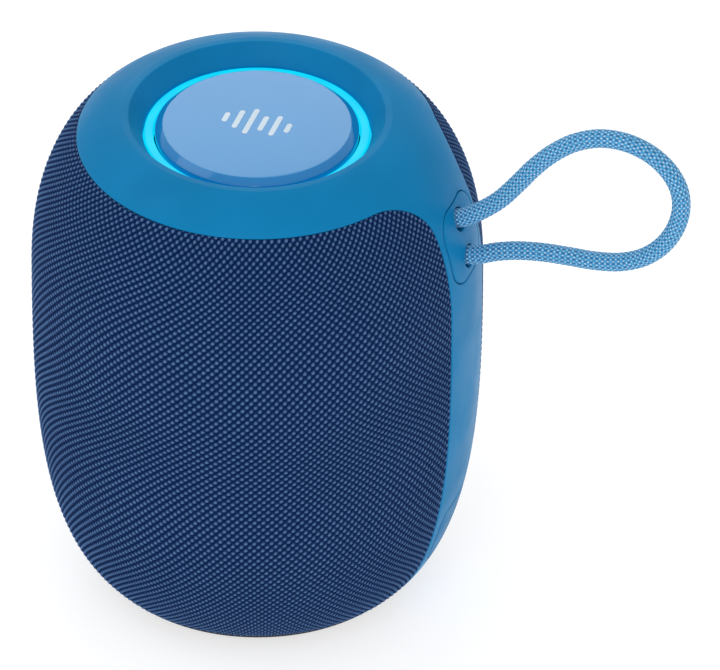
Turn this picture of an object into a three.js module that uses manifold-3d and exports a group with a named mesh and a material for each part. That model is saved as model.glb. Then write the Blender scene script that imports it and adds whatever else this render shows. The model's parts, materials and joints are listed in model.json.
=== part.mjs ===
// A barrel-shaped portable party speaker, in millimetres, +Z up, standing on z = 0.
// The moulded spine is on +X, the control panel on +Y, and the front is -Y.
import * as THREE from "three";
import { mergeVertices } from "three/addons/utils/BufferGeometryUtils.js";
import Module from "manifold-3d";

const wasm = await Module();
wasm.setup();

// ---- driving dimensions -------------------------------------------------------------------
const HEIGHT = 112.5; // rim of the top cap above the table
const MAX_RADIUS = 47; // the barrel at its widest
const WIDEST_Z = 76.5;
const RIM_RADIUS = 28.1; // outer edge of the flat crest round the top recess
const RECESS_RADIUS = 26.7; // inner edge of the same crest
const FOOT_RADIUS = 32; // where the barrel's curve ends near the table
const FOOT_Z = 2;
const GAP = 0.3; // clearance between neighbouring pieces

const CAP_EDGE_Z = 107; // where the moulded cap meets the fabric
const CAP_WALL = 2.2; // wall of the cap and of its spine
const FABRIC = 1; // thickness of the fabric
const BARREL_SKIN = 1.3; // depth of the barrel's outside below the outer skin
const BARREL_INSIDE = 4; // depth of the barrel's inside below the outer skin
const GROOVE_DEPTH = 2.5; // depth of the pockets that hold the spine and the control panel

const SPINE_HALF = 10.3; // half the width of the spine
const SPINE_FOOT_HALF = 8.4; // half its width at the bottom
const SPINE_TAPER_Z = 26; // where the spine starts to narrow downwards
const SPINE_BOTTOM_Z = 3.4;
const FLARE_RADIUS = 9.3; // fillet between the spine and the cap's edge

const RING_TOP_Z = 108.3; // the light ring's visible face
const RING_INNER = 21.5;
const RING_OUTER = 23.5;
const DISC_RADIUS = 21.2; // the radiator's glossy cap
const DISC_TOP_Z = 110.4;

const PLATE = { width: 16.5, height: 16.6, corner: 5.2, z: 91, depth: 2 };
const ROPE_RADIUS = 1.95;
const ROPE_HOLE_RADIUS = 2.5;
const ROPE_HOLE_Z = [95.5, 86.7];
const ROPE_ANCHOR_X = 32.5; // where the rope's ends stop, inside the clamp

const FLAP = { width: 15.4, height: 13.6, corner: 4, z: 18.4, depth: 1.5 };
const USB = { width: 9, height: 3.2, z: 20.9, mouthX: 39, length: 7.4 };
const CARD = { width: 12, height: 1.6, z: 16.5, mouthX: 38.4, length: 11 };

const PANEL = { width: 14.5, height: 47, corner: 7.2, z: 68, depth: 2 };
const BUTTON_RADIUS = 4;
const BUTTON_PITCH = 10.7;
const BUTTONS = ["power_button", "volume_down_button", "volume_up_button", "play_button"];

const DRIVER_Z = 40.8; // underside of the driver's flange
const TRAY_Z = 65; // underside of the tray that carries the battery and the main board
const BATTERY = { radius: 9.2, length: 65, x: -10, z: 78 };
const FRAME_Z = 100.4; // underside of the radiator's frame

// Sides of the round pieces.
const FINE = 48; // the cap and what lies in its surface
const MEDIUM = 32; // the barrel, its fabric and the disc
const LOW = 24; // wide pieces inside
const COARSE = 16; // small pieces inside

const WALL_CUT = [30, 60]; // a hole through the wall starts inside it and ends outside it
const PILOT_RADIUS = 1.3; // clears the shank of a screw
const DEGREES = 180 / Math.PI;

// ---- materials ----------------------------------------------------------------------------
const finish = (color, roughness, metalness = 0) =>
  new THREE.MeshStandardMaterial({ color, roughness, metalness });
const BLUE = finish(0x1f7db2, 0.45);
const GLOSS_BLUE = finish(0x176fa8, 0.12);
const NAVY = finish(0x14325f, 0.9);
const GLOW = new THREE.MeshStandardMaterial({ color: 0x00d9ff, emissive: 0x00d9ff, roughness: 0.5 });
const ROPE_BLUE = finish(0x2f95cf, 0.8);
const BLACK = finish(0x16181b, 0.6);
const RUBBER = finish(0x1a1b1d, 0.9);
const STEEL = finish(0xb9bcc0, 0.35, 1);
const DARK_STEEL = finish(0x3a3d42, 0.45, 1);
const FERRITE = finish(0x2b2b2d, 0.7);
const COPPER = finish(0xb56a3a, 0.4, 1);
const PAPER = finish(0x25272b, 0.85);
const BOARD = finish(0x14603a, 0.55);
const CELL = finish(0x2b6fb8, 0.5);
const WIRE = finish(0xb3262a, 0.5);

// ---- solids -------------------------------------------------------------------------------
const X = new THREE.Vector3(1, 0, 0);
const Y = new THREE.Vector3(0, 1, 0);
const Z = new THREE.Vector3(0, 0, 1);
const ALONG_X = new THREE.Matrix4().makeBasis(Y, Z, X); // outline (y, z), pushed along +X
const ALONG_Y = new THREE.Matrix4().makeBasis(X.clone().negate(), Z, Y); // outline (-x, z), along +Y
const ALONG_Z = new THREE.Matrix4();

function solidOf(geometry) {
  const bare = geometry.clone();
  bare.deleteAttribute("normal");
  bare.deleteAttribute("uv");
  const merged = mergeVertices(bare, 1e-4);
  const index = Array.from(merged.index.array);
  const kept = [];
  for (let i = 0; i < index.length; i += 3) {
    const [a, b, c] = index.slice(i, i + 3);
    if (a !== b && b !== c && c !== a) kept.push(a, b, c);
  }
  const vertProperties = new Float32Array(merged.attributes.position.array);
  return new wasm.Manifold(new wasm.Mesh({ numProp: 3, vertProperties, triVerts: new Uint32Array(kept) }));
}

function geometryOf(solid) {
  const mesh = solid.getMesh();
  const geometry = new THREE.BufferGeometry();
  geometry.setAttribute("position", new THREE.BufferAttribute(mesh.vertProperties, 3));
  geometry.setIndex(new THREE.BufferAttribute(mesh.triVerts, 1));
  const flat = geometry.toNonIndexed();
  flat.computeVertexNormals();
  return flat;
}

// A solid of revolution about Z from a closed outline of [radius, z] points.
function turned(outline, sides = COARSE) {
  const onAxis = outline[0][0] === 0;
  const points = outline.map(([r, z]) => new THREE.Vector2(r, z));
  if (!THREE.ShapeUtils.isClockWise(points)) points.reverse();
  if (onAxis) {
    while (points[0].x !== 0 || points.at(-1).x !== 0) points.push(points.shift());
  } else {
    points.push(points[0].clone());
  }
  const geometry = new THREE.LatheGeometry(points.reverse(), sides);
  geometry.rotateX(Math.PI / 2);
  return solidOf(geometry);
}

// An outline pushed along an axis of the frame. An arc in it gets twice as many sides as arcSteps.
function pushed(shape, from, to, frame = ALONG_Z, arcSteps = 3) {
  const geometry = new THREE.ExtrudeGeometry(shape, {
    depth: to - from,
    bevelEnabled: false,
    curveSegments: arcSteps,
  });
  geometry.translate(0, 0, from);
  geometry.applyMatrix4(frame);
  return solidOf(geometry);
}

function box(xs, ys, zs) {
  const geometry = new THREE.BoxGeometry(xs[1] - xs[0], ys[1] - ys[0], zs[1] - zs[0]);
  geometry.translate((xs[0] + xs[1]) / 2, (ys[0] + ys[1]) / 2, (zs[0] + zs[1]) / 2);
  return solidOf(geometry);
}

// A round bar along an axis of the frame, from one position to another on that axis.
function bar(radius, from, to, u, v, frame = ALONG_Z, sides = 16) {
  const shape = new THREE.Shape().absarc(u, v, radius, 0, 2 * Math.PI);
  return pushed(shape, from, to, frame, sides / 2);
}

function ringOf(count, radius, make, firstAngle = Math.PI / count) {
  return Array.from({ length: count }, (_, i) => {
    const angle = firstAngle + (2 * Math.PI * i) / count;
    return make(radius * Math.cos(angle), radius * Math.sin(angle), angle, i);
  });
}

const joined = (solids) => solids.reduce((all, next) => all.add(next));
const without = (solid, cuts) => cuts.reduce((left, cut) => left.subtract(cut), solid);

// ---- the outer skin -----------------------------------------------------------------------
// Half section of the barrel, from the rim over the shoulder and down to the foot.
const SHOULDER = new THREE.CubicBezierCurve(
  new THREE.Vector2(RIM_RADIUS, HEIGHT),
  new THREE.Vector2(38.5, 110.1),
  new THREE.Vector2(MAX_RADIUS, 98.6),
  new THREE.Vector2(MAX_RADIUS, WIDEST_Z),
);
const FLANK = new THREE.CubicBezierCurve(
  new THREE.Vector2(MAX_RADIUS, WIDEST_Z),
  new THREE.Vector2(MAX_RADIUS, 41.4),
  new THREE.Vector2(46, 12.7),
  new THREE.Vector2(FOOT_RADIUS, FOOT_Z),
);

// The skin's [radius, z] at a height, moved inwards by a depth.
function skinPoint(height, depth = 0) {
  const curve = height > WIDEST_Z ? SHOULDER : FLANK;
  let [low, high] = [0, 1];
  for (let i = 0; i < 40; i++) {
    const middle = (low + high) / 2;
    if (curve.getPoint(middle).y > height) low = middle;
    else high = middle;
  }
  const point = curve.getPoint(low);
  const tangent = curve.getTangent(low);
  return [point.x + depth * tangent.y, point.y - depth * tangent.x];
}

// How far along the skin a height is, counted in equal amounts of bend.
const SKIN_SAMPLES = [...SHOULDER.getPoints(60), ...FLANK.getPoints(60).slice(1)];
const LEAST_TURN = 0.002; // keeps the count rising where the skin is straight
const SKIN_BEND = [0];
for (let i = 1; i < SKIN_SAMPLES.length; i++) {
  const before = SKIN_SAMPLES[Math.max(i - 1, 1)].clone().sub(SKIN_SAMPLES[Math.max(i - 2, 0)]);
  const after = SKIN_SAMPLES[i].clone().sub(SKIN_SAMPLES[i - 1]);
  const turn = Math.abs(after.angle() - before.angle()) + LEAST_TURN;
  SKIN_BEND.push(SKIN_BEND[i - 1] + Math.sqrt(turn * after.length()));
}

// Reads a table whose keys rise or fall steadily.
function lookUp(value, keys, values) {
  let i = 1;
  while (i < keys.length - 1 && (keys[i] - value) * (keys[i] - keys[0]) < 0) i++;
  const share = (value - keys[i - 1]) / (keys[i] - keys[i - 1] || 1);
  return values[i - 1] + share * (values[i] - values[i - 1]);
}

// Points on the skin between two heights, closer together where it bends more.
function skinLine(top, bottom, depth, steps) {
  const heights = SKIN_SAMPLES.map((p) => p.y);
  const first = lookUp(top, heights, SKIN_BEND);
  const last = lookUp(bottom, heights, SKIN_BEND);
  return Array.from({ length: steps + 1 }, (_, i) => {
    if (i === 0) return skinPoint(top, depth);
    if (i === steps) return skinPoint(bottom, depth);
    return skinPoint(lookUp(first + ((last - first) * i) / steps, SKIN_BEND, heights), depth);
  });
}

function skinShell(top, bottom, outerDepth, innerDepth, steps, sides) {
  const outside = skinLine(top, bottom, outerDepth, steps);
  const inside = skinLine(top, bottom, innerDepth, steps).reverse();
  return turned([...outside, ...inside], sides);
}

const throughWall = (shape, frame, arcSteps) => pushed(shape, ...WALL_CUT, frame, arcSteps);
const boreThroughWall = (radius, height, frame, sides) =>
  bar(radius, ...WALL_CUT, 0, height, frame, sides);

// ---- outlines -----------------------------------------------------------------------------
function roundedRectangle(width, height, corner, centreY, grow = 0) {
  const w = width / 2 + grow;
  const h = height / 2 + grow;
  const r = Math.min(corner + grow, w, h);
  const shape = new THREE.Shape();
  shape.absarc(w - r, centreY - h + r, r, -Math.PI / 2, 0);
  shape.absarc(w - r, centreY + h - r, r, 0, Math.PI / 2);
  shape.absarc(-w + r, centreY + h - r, r, Math.PI / 2, Math.PI);
  shape.absarc(-w + r, centreY - h + r, r, Math.PI, 1.5 * Math.PI);
  return shape;
}

const insetOutline = (inset, grow = 0) =>
  roundedRectangle(inset.width, inset.height, inset.corner, inset.z, grow);

const socketOutline = (socket, corner, grow = 0) =>
  roundedRectangle(socket.width, socket.height, corner, socket.z, grow);

// The spine seen from +X: parallel sides that flare into the cap's edge and narrow to the foot.
function spineOutline(top, grow = 0) {
  const flareZ = CAP_EDGE_Z - FLARE_RADIUS;
  const flareY = SPINE_HALF + FLARE_RADIUS;
  const radius = FLARE_RADIUS - grow;
  const half = SPINE_HALF + grow;
  const foot = SPINE_FOOT_HALF + grow;
  const bottom = SPINE_BOTTOM_Z - grow;
  const shape = new THREE.Shape();
  shape.moveTo(-foot, bottom);
  shape.lineTo(foot, bottom);
  shape.quadraticCurveTo(half, SPINE_TAPER_Z / 2, half, SPINE_TAPER_Z);
  shape.absarc(flareY, flareZ, radius, Math.PI, Math.PI / 2, true);
  shape.lineTo(flareY, top);
  shape.lineTo(-flareY, top);
  shape.absarc(-flareY, flareZ, radius, Math.PI / 2, 0, true);
  shape.lineTo(-half, SPINE_TAPER_Z);
  shape.quadraticCurveTo(-half, SPINE_TAPER_Z / 2, -foot, bottom);
  return shape;
}

const spineBlock = (grow) => pushed(spineOutline(CAP_EDGE_Z + 1, grow), 15, WALL_CUT[1], ALONG_X);

// ---- casing -------------------------------------------------------------------------------
const SKIRT_INNER = 33.9;
const SKIRT_OUTER = 35.5;
const SKIRT_BOTTOM = 102.4;

function topCap() {
  const outside = skinLine(HEIGHT, CAP_EDGE_Z, 0, 4);
  const ring = turned(
    [
      [RECESS_RADIUS, HEIGHT],
      ...outside,
      skinPoint(CAP_EDGE_Z, CAP_WALL),
      [SKIRT_OUTER, 104.8],
      [SKIRT_OUTER, SKIRT_BOTTOM],
      [SKIRT_INNER, SKIRT_BOTTOM],
      [SKIRT_INNER, 106.2],
      [29.6, 109.9],
      [26.3, 106.3],
      [RING_OUTER + GAP, 106.3],
      [RING_OUTER + GAP, RING_TOP_Z],
    ],
    FINE,
  );
  const wall = skinShell(CAP_EDGE_Z + 0.8, SPINE_BOTTOM_Z - 0.6, 0, CAP_WALL, 12, FINE);
  const spine = wall.intersect(spineBlock(0));
  const windows = [PLATE, FLAP].map((inset) => throughWall(insetOutline(inset, GAP), ALONG_X));
  return without(ring.add(spine), windows);
}

function fabricSleeve() {
  const shell = skinShell(CAP_EDGE_Z - GAP, 3.5, 0, FABRIC, 10, MEDIUM);
  const panelHole = throughWall(insetOutline(PANEL, GAP), ALONG_Y);
  return without(shell, [spineBlock(GAP), panelHole]);
}

const SLOT_PLACES = 10; // sound slots go round the barrel at this many places,
const FIRST_SLOT = 2; // and the places beside the ports have none
const PANEL_RIM = 1.6; // the land that the control panel rests on

// The moulded barrel under the fabric: sound slots low down, a ledge for the driver's baffle,
// a ledge for the radiator's frame, and pockets for the spine and the control panel.
function barrel() {
  const outside = skinLine(CAP_EDGE_Z - 0.6, 4.6, BARREL_SKIN, 10);
  const lowerInside = skinLine(34, 10, BARREL_INSIDE, 2).reverse();
  const upperInside = skinLine(100.8, 37.3, BARREL_INSIDE, 4).reverse();
  const body = turned(
    [
      ...outside,
      [33, 4.9],
      [21, 4.9],
      [21, 7.4],
      [33.4, 7.4],
      ...lowerInside,
      [38.2, 35.6],
      [38.2, 37.6],
      ...upperInside,
      [28.5, 98.6],
      [28.5, 100.1],
      [36.3, 100.1],
      [36.3, 104],
    ],
    MEDIUM,
  );
  const pocket = skinShell(HEIGHT - 3, SPINE_BOTTOM_Z - 1.2, -2, GROOVE_DEPTH, 12, MEDIUM);
  const panelPocket = throughWall(insetOutline(PANEL, GAP), ALONG_Y);
  const panelWindow = throughWall(insetOutline(PANEL, -PANEL_RIM), ALONG_Y);
  const slots = [];
  for (let i = FIRST_SLOT; i <= SLOT_PLACES - FIRST_SLOT; i++) {
    slots.push(box(WALL_CUT, [-6, 6], [12, 33]).rotate([0, 0, (360 * i) / SLOT_PLACES]));
  }
  const usbHole = throughWall(socketOutline(USB, USB.height / 2, GAP), ALONG_X, 2);
  const cardHole = throughWall(socketOutline(CARD, 0.4, GAP), ALONG_X, 1);
  const ropeHoles = ROPE_HOLE_Z.map((z) => boreThroughWall(ROPE_HOLE_RADIUS + 0.1, z, ALONG_X));
  const clampPilot = bar(PILOT_RADIUS, 36, 43.2, 0, PLATE.z, ALONG_X, 8);
  const floorHoles = ringOf(4, BASE_SCREW_CIRCLE, (x, y) => bar(PILOT_RADIUS, 4, 8, x, y, ALONG_Z, 8));
  const ledgeHoles = ringOf(4, FRAME_SCREW_CIRCLE, (x, y) => bar(PILOT_RADIUS, 98, 101, x, y, ALONG_Z, 8));
  const boardPosts = [-5.5, 5.5].map((y) => bar(1.6, 7, PORT_BOARD_Z - GAP, 25.4, y, ALONG_Z, 8));
  const panelLugs = [
    box([-4, 4], [40.4, 43.4], [41.6, 45.2]),
    box([-4, 4], [40.4, 42.4], [90.8, 94.2]),
  ];
  const cut = without(body, [
    spineBlock(GAP).intersect(pocket),
    panelPocket.intersect(pocket),
    panelWindow,
    ...slots,
    usbHole,
    cardHole,
    ...ropeHoles,
    clampPilot,
    ...floorHoles,
    ...ledgeHoles,
  ]);
  return joined([cut, ...boardPosts, ...panelLugs]);
}

const BASE_SCREW_CIRCLE = 24.8;
const BASE_TOP = 4.6;

function baseCover() {
  const cover = turned(
    [
      [0, 1.2],
      [20.7, 1.2],
      [20.7, 2.2],
      [28.9, 2.2],
      [28.9, 1.2],
      [31, 1.3],
      skinPoint(2.1),
      skinPoint(2.9),
      [31.4, 3.05],
      [30.4, BASE_TOP],
      [0, BASE_TOP],
    ],
    MEDIUM,
  );
  const heads = ringOf(4, BASE_SCREW_CIRCLE, (x, y) => bar(2.3, 2, 3.5, x, y, ALONG_Z, 8));
  const holes = ringOf(4, BASE_SCREW_CIRCLE, (x, y) => bar(PILOT_RADIUS, 2, 5, x, y, ALONG_Z, 8));
  return without(cover, [...heads, ...holes]);
}

const footRing = () => turned([[21, 0], [28.2, 0], [28.6, 0.5], [28.6, 1.9], [21, 1.9]], LOW);

const soundCone = () =>
  turned([[0, 4.9], [19.6, 4.9], [19.6, 6], [13, 8.2], [7.5, 13], [3.6, 20], [1.4, 24], [0, 24.6]]);

// ---- top: light ring and passive radiator -------------------------------------------------
const FRAME_SCREW_CIRCLE = 30.9;

const lightRing = () =>
  turned(
    [
      [RING_INNER, 105.2],
      [25.5, 105.2],
      [25.5, 106],
      [RING_OUTER, 106],
      [RING_OUTER, RING_TOP_Z - 0.1],
      [RING_INNER, RING_TOP_Z - 0.1],
    ],
    MEDIUM,
  );

function lightBoard() {
  const board = turned([[21.8, 103.2], [27.2, 103.2], [27.2, 104.2], [21.8, 104.2]], LOW);
  const lamp = box([-1, 1], [-1, 1], [104, 104.9]);
  const lamps = ringOf(12, 23.8, (x, y, angle) => lamp.rotate([0, 0, angle * DEGREES]).translate([x, y, 0]));
  return joined([board, ...lamps]);
}

// The glossy disc: a shallow dome with a rolled edge and a boss that is glued to the weight.
function radiatorCap() {
  const edge = new THREE.CubicBezierCurve(
    new THREE.Vector2(DISC_RADIUS, DISC_TOP_Z - 2),
    new THREE.Vector2(DISC_RADIUS, DISC_TOP_Z - 1.1),
    new THREE.Vector2(DISC_RADIUS - 0.7, DISC_TOP_Z - 0.62),
    new THREE.Vector2(DISC_RADIUS - 1.7, DISC_TOP_Z - 0.5),
  );
  const rolled = edge.getPoints(3).map((p) => [p.x, p.y]);
  return turned(
    [
      [0, 104.7],
      [6, 104.7],
      [6, 108.2],
      [19.4, 108],
      [19.4, 107.2],
      [DISC_RADIUS, 107.2],
      ...rolled,
      [0, DISC_TOP_Z],
    ],
    MEDIUM,
  );
}

const radiatorWeight = () =>
  turned([[0, 99], [10.9, 99], [10.9, 103.2], [11.8, 103.2], [11.8, 104.4], [0, 104.4]]);

const ROLL_STEPS = 4;
const SURROUND_WALL = 0.5;

// A rolled rubber suspension: a flat outer land, a half roll and a flat inner land.
function rolledSurround(inner, outer, landWidth, z, bulge, thickness) {
  const rollInner = inner + landWidth;
  const rollOuter = outer - landWidth;
  const middle = (rollInner + rollOuter) / 2;
  const reach = (rollOuter - rollInner) / 2;
  const way = Math.sign(bulge);
  const arch = (grow, side) =>
    Array.from({ length: ROLL_STEPS + 1 }, (_, i) => {
      const angle = (Math.PI * i) / ROLL_STEPS;
      const across = side * (reach + grow) * Math.cos(angle);
      return [middle + across, z + (bulge + way * grow) * Math.sin(angle)];
    });
  const up = way * thickness;
  const near = arch(0, 1);
  const far = arch(thickness, -1);
  return turned([
    [outer, z],
    ...near,
    [inner, z],
    [inner, z + up],
    ...far.slice(1, -1),
    [outer, z + up],
  ]);
}

function radiatorFrame() {
  const plate = turned(
    [
      [18.3, FRAME_Z],
      [SKIRT_OUTER, FRAME_Z],
      [SKIRT_OUTER, FRAME_Z + 1.6],
      [26.6, FRAME_Z + 1.6],
      [26.6, FRAME_Z + 2.5],
      [21.9, FRAME_Z + 2.5],
      [21.9, FRAME_Z + 1.6],
      [18.3, FRAME_Z + 1.6],
    ],
    LOW,
  );
  const holes = ringOf(4, FRAME_SCREW_CIRCLE, (x, y) =>
    bar(PILOT_RADIUS, FRAME_Z - 1, FRAME_Z + 4, x, y, ALONG_Z, 8),
  );
  return without(plate, holes);
}

// ---- lanyard ------------------------------------------------------------------------------
// A panel that lies flush in the outer skin.
function skinInset(inset, frame) {
  const reach = inset.height / 2 + 1;
  const shell = skinShell(inset.z + reach, inset.z - reach, 0, inset.depth, 5, FINE);
  return shell.intersect(throughWall(insetOutline(inset), frame));
}

function lanyardPlate() {
  const holes = ROPE_HOLE_Z.map((z) => boreThroughWall(ROPE_HOLE_RADIUS, z, ALONG_X));
  return without(skinInset(PLATE, ALONG_X), holes);
}

function ropeClamp() {
  const block = box([31.7, 38], [-4.8, 4.8], [83.4, 98.1]);
  const bores = ROPE_HOLE_Z.map((z) => boreThroughWall(ROPE_RADIUS + GAP + 0.05, z, ALONG_X));
  return without(block, [...bores, boreThroughWall(PILOT_RADIUS, PLATE.z, ALONG_X, 8)]);
}

// The braided loop, in the plane y = 0, from the upper hole round to the lower hole.
const ROPE_ROUTE = [
  [ROPE_ANCHOR_X, 95.5],
  [37.5, 95.5],
  [42, 95.4],
  [45, 96.1],
  [48.5, 98.4],
  [52.9, 102.3],
  [56.6, 106.9],
  [60.3, 111.9],
  [64.3, 116.3],
  [69.2, 120.1],
  [74.8, 122.3],
  [80.4, 122.4],
  [85.5, 120.6],
  [89.4, 117.3],
  [91.7, 113.1],
  [92.2, 108.4],
  [91, 103.2],
  [88.3, 98.4],
  [84.2, 94.5],
  [79.2, 92.2],
  [73.6, 91.3],
  [68, 91.2],
  [62.3, 91],
  [56.6, 90.2],
  [52, 88.9],
  [48.6, 87.5],
  [45, 86.8],
  [42, 86.7],
  [37.5, 86.7],
  [ROPE_ANCHOR_X, 86.7],
];

function tube(points, radius, steps, sides) {
  const curve = new THREE.CatmullRomCurve3(points, false, "centripetal");
  const section = new THREE.Shape();
  for (let i = 0; i < sides; i++) {
    const angle = (2 * Math.PI * i) / sides;
    const [u, v] = [radius * Math.cos(angle), radius * Math.sin(angle)];
    if (i === 0) section.moveTo(u, v);
    else section.lineTo(u, v);
  }
  section.closePath();
  return new THREE.ExtrudeGeometry(section, { steps, bevelEnabled: false, extrudePath: curve });
}

function lanyardCord() {
  const points = ROPE_ROUTE.map(([x, z]) => new THREE.Vector3(x, 0, z));
  return tube(points, ROPE_RADIUS, 36, 8);
}

// ---- ports --------------------------------------------------------------------------------
const PORT_BOARD_Z = 17.7;

const portFlap = () => skinInset(FLAP, ALONG_X);

// A sheet-metal shell with one open end, which faces +X.
function socketShell(socket, corner, wall, arcSteps) {
  const back = socket.mouthX - socket.length;
  const shell = pushed(socketOutline(socket, corner), back, socket.mouthX, ALONG_X, arcSteps);
  const hollow = socketOutline(socket, corner, -wall);
  return shell.subtract(pushed(hollow, back + 1, socket.mouthX + 1, ALONG_X, arcSteps));
}

function usbSocket() {
  const tongue = box(
    [USB.mouthX - USB.length, USB.mouthX - 1],
    [-3.3, 3.3],
    [USB.z - 0.35, USB.z + 0.35],
  );
  return socketShell(USB, USB.height / 2, 0.35, 2).add(tongue);
}

const cardSocket = () => socketShell(CARD, 0.3, 0.3, 1);

function portBoard() {
  const plate = box([22.4, 35.4], [-8, 8], [PORT_BOARD_Z, PORT_BOARD_Z + 1.2]);
  return joined([plate, box([24, 28.4], [-6, -2], [PORT_BOARD_Z + 1, PORT_BOARD_Z + 3])]);
}

// ---- control panel ------------------------------------------------------------------------
const buttonZ = (i) => PANEL.z + (i - (BUTTONS.length - 1) / 2) * BUTTON_PITCH;
const BUTTON_BOARD_FACE = 40.1;
const STEM_RADIUS = 1.2;
const KEY_PROUD = 0.4; // how far a key's face stands out of the panel
const KEY_DEPTH = 3.4; // how deep its body reaches below the skin

function controlPanel() {
  const holes = BUTTONS.map((_, i) => boreThroughWall(BUTTON_RADIUS + GAP, buttonZ(i), ALONG_Y));
  return without(skinInset(PANEL, ALONG_Y), holes);
}

// A round key: its face follows the skin and stands a little proud of the panel. A flange
// behind the panel holds it in, and its stem reaches into the switch.
function button(i) {
  const z = buttonZ(i);
  const proud = skinShell(z + 6, z - 6, -KEY_PROUD, KEY_DEPTH, 3, FINE);
  const key = proud.intersect(boreThroughWall(BUTTON_RADIUS, z, ALONG_Y));
  const flange = bar(BUTTON_RADIUS + 0.7, 42.5, 43.3, 0, z, ALONG_Y);
  const core = bar(BUTTON_RADIUS, 42.9, 44, 0, z, ALONG_Y);
  const stem = bar(STEM_RADIUS, 41, 43, 0, z, ALONG_Y, 8);
  return joined([key, flange, core, stem]);
}

function buttonBoard() {
  const plate = box([-6.4, 6.4], [38.9, BUTTON_BOARD_FACE], [42, 92.4]);
  const switches = BUTTONS.map((_, i) =>
    box([-2.5, 2.5], [BUTTON_BOARD_FACE - 0.2, 41.7], [buttonZ(i) - 2.5, buttonZ(i) + 2.5]),
  );
  const bores = BUTTONS.map((_, i) =>
    bar(STEM_RADIUS + GAP, BUTTON_BOARD_FACE, 43, 0, buttonZ(i), ALONG_Y, 8),
  );
  return without(joined([plate, ...switches]), bores);
}

// ---- driver, firing downwards -------------------------------------------------------------
const DRIVER_SCREW_CIRCLE = 24.5;
const POST_CIRCLE = 34.5;

function driverBaffle() {
  const plate = turned([[22, 38], [40.9, 38], [40.9, DRIVER_Z - GAP], [22, DRIVER_Z - GAP]], LOW);
  const posts = ringOf(4, POST_CIRCLE, (x, y) => bar(3, 39, TRAY_Z - GAP, x, y, ALONG_Z, 8));
  const screwHoles = ringOf(4, DRIVER_SCREW_CIRCLE, (x, y) => bar(1.2, 37, 42, x, y, ALONG_Z, 8));
  const postBores = ringOf(4, POST_CIRCLE, (x, y) =>
    bar(PILOT_RADIUS, TRAY_Z - 8, TRAY_Z, x, y, ALONG_Z, 8),
  );
  const wireHole = bar(1.8, 37, 42, 31, 0, ALONG_Z, 8);
  return without(joined([plate, ...posts]), [...screwHoles, ...postBores, wireHole]);
}

function driverBasket() {
  const body = turned([
    [19.6, DRIVER_Z],
    [26.5, DRIVER_Z],
    [26.5, DRIVER_Z + 1.2],
    [20.9, DRIVER_Z + 1.2],
    [18.6, 51.6],
    [12.4, 51.6],
    [12.4, 50.6],
    [17.6, 50.6],
    [19.6, DRIVER_Z + 1.2],
  ]);
  const window = box([-5, 5], [-7, 7], [43.4, 49.6]);
  const windows = ringOf(4, 18.5, (x, y, angle) =>
    window.rotate([0, 0, angle * DEGREES]).translate([x, y, 0]),
  );
  const holes = ringOf(4, DRIVER_SCREW_CIRCLE, (x, y) => bar(1.2, 40, 43, x, y, ALONG_Z, 8));
  return without(body, [...windows, ...holes]);
}

const driverTopPlate = () => turned([[9.2, 51.9], [18, 51.9], [18, 54.4], [9.2, 54.4]]);
const driverMagnet = () => turned([[10.5, 54.7], [19.5, 54.7], [19.5, 61.5], [10.5, 61.5]]);
const driverYoke = () =>
  turned([[0, 52.2], [7.3, 52.2], [7.3, 61.8], [18.5, 61.8], [18.5, 64.3], [0, 64.3]]);
const voiceCoil = () => turned([[7.7, 47.6], [8.4, 47.6], [8.4, 57.5], [7.7, 57.5]]);
const driverCone = () =>
  turned([[15.4, 40.8], [16.6, 40.8], [16.6, 41.3], [15.6, 41.3], [9.3, 47.6], [8.8, 47.1]]);
function dustCap() {
  const under = [[0, 44.2], [3.6, 44.6], [6.6, 45.8], [8.2, 47.2]];
  const over = [[7.4, 47.2], [6.3, 46.3], [3.4, 45.1], [0, 44.7]];
  return turned([...under, ...over]);
}

function driverSpider() {
  const [inner, width, steps, ripple] = [8.8, 8, 7, 0.6];
  const wave = (lift) =>
    Array.from({ length: steps + 1 }, (_, i) => {
      const rise = i === 0 || i === steps ? 0 : ripple * (-1) ** i;
      return [inner + (width * i) / steps, 49.2 + rise + lift];
    });
  return turned([...wave(0), ...wave(0.5).reverse()]);
}

// ---- tray, battery and boards -------------------------------------------------------------
const MAIN_BOARD_Z = 71.3;
const STANDOFFS = [[11, -18], [11, 18], [29, -18], [29, 18]]; // x and y of the main board's feet

function chassisTray() {
  const plate = turned([[0, TRAY_Z], [40, TRAY_Z], [40, TRAY_Z + 1.8], [0, TRAY_Z + 1.8]], LOW);
  const saddles = [-20, 20].map((y) =>
    box([BATTERY.x - 12, BATTERY.x + 12], [y - 2, y + 2], [TRAY_Z + 1, BATTERY.z]),
  );
  const standoffs = STANDOFFS.map(([x, y]) => bar(2.2, TRAY_Z + 1, MAIN_BOARD_Z - GAP, x, y, ALONG_Z, 8));
  const cradle = bar(BATTERY.radius + GAP, -40, 40, -BATTERY.x, BATTERY.z, ALONG_Y, 20);
  const hole = (radius, x, y) => bar(radius, TRAY_Z - 1, TRAY_Z + 3, x, y, ALONG_Z, 8);
  const screwHoles = ringOf(4, POST_CIRCLE, (x, y) => hole(PILOT_RADIUS, x, y));
  const boardNotch = box([-7, 7], [37, 42], [TRAY_Z - 1, TRAY_Z + 3]);
  const wireHoles = [hole(2, 33, 0), hole(3, 6, -31)];
  const tray = joined([plate, ...saddles, ...standoffs]);
  return without(tray, [cradle, boardNotch, ...screwHoles, ...wireHoles]);
}

function batteryCell() {
  const half = BATTERY.length / 2;
  const barSolid = bar(BATTERY.radius, -half, half, -BATTERY.x, BATTERY.z, ALONG_Y, COARSE);
  return barSolid.add(bar(3, -half - 0.8, -half + 1, -BATTERY.x, BATTERY.z, ALONG_Y, 12));
}

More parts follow.
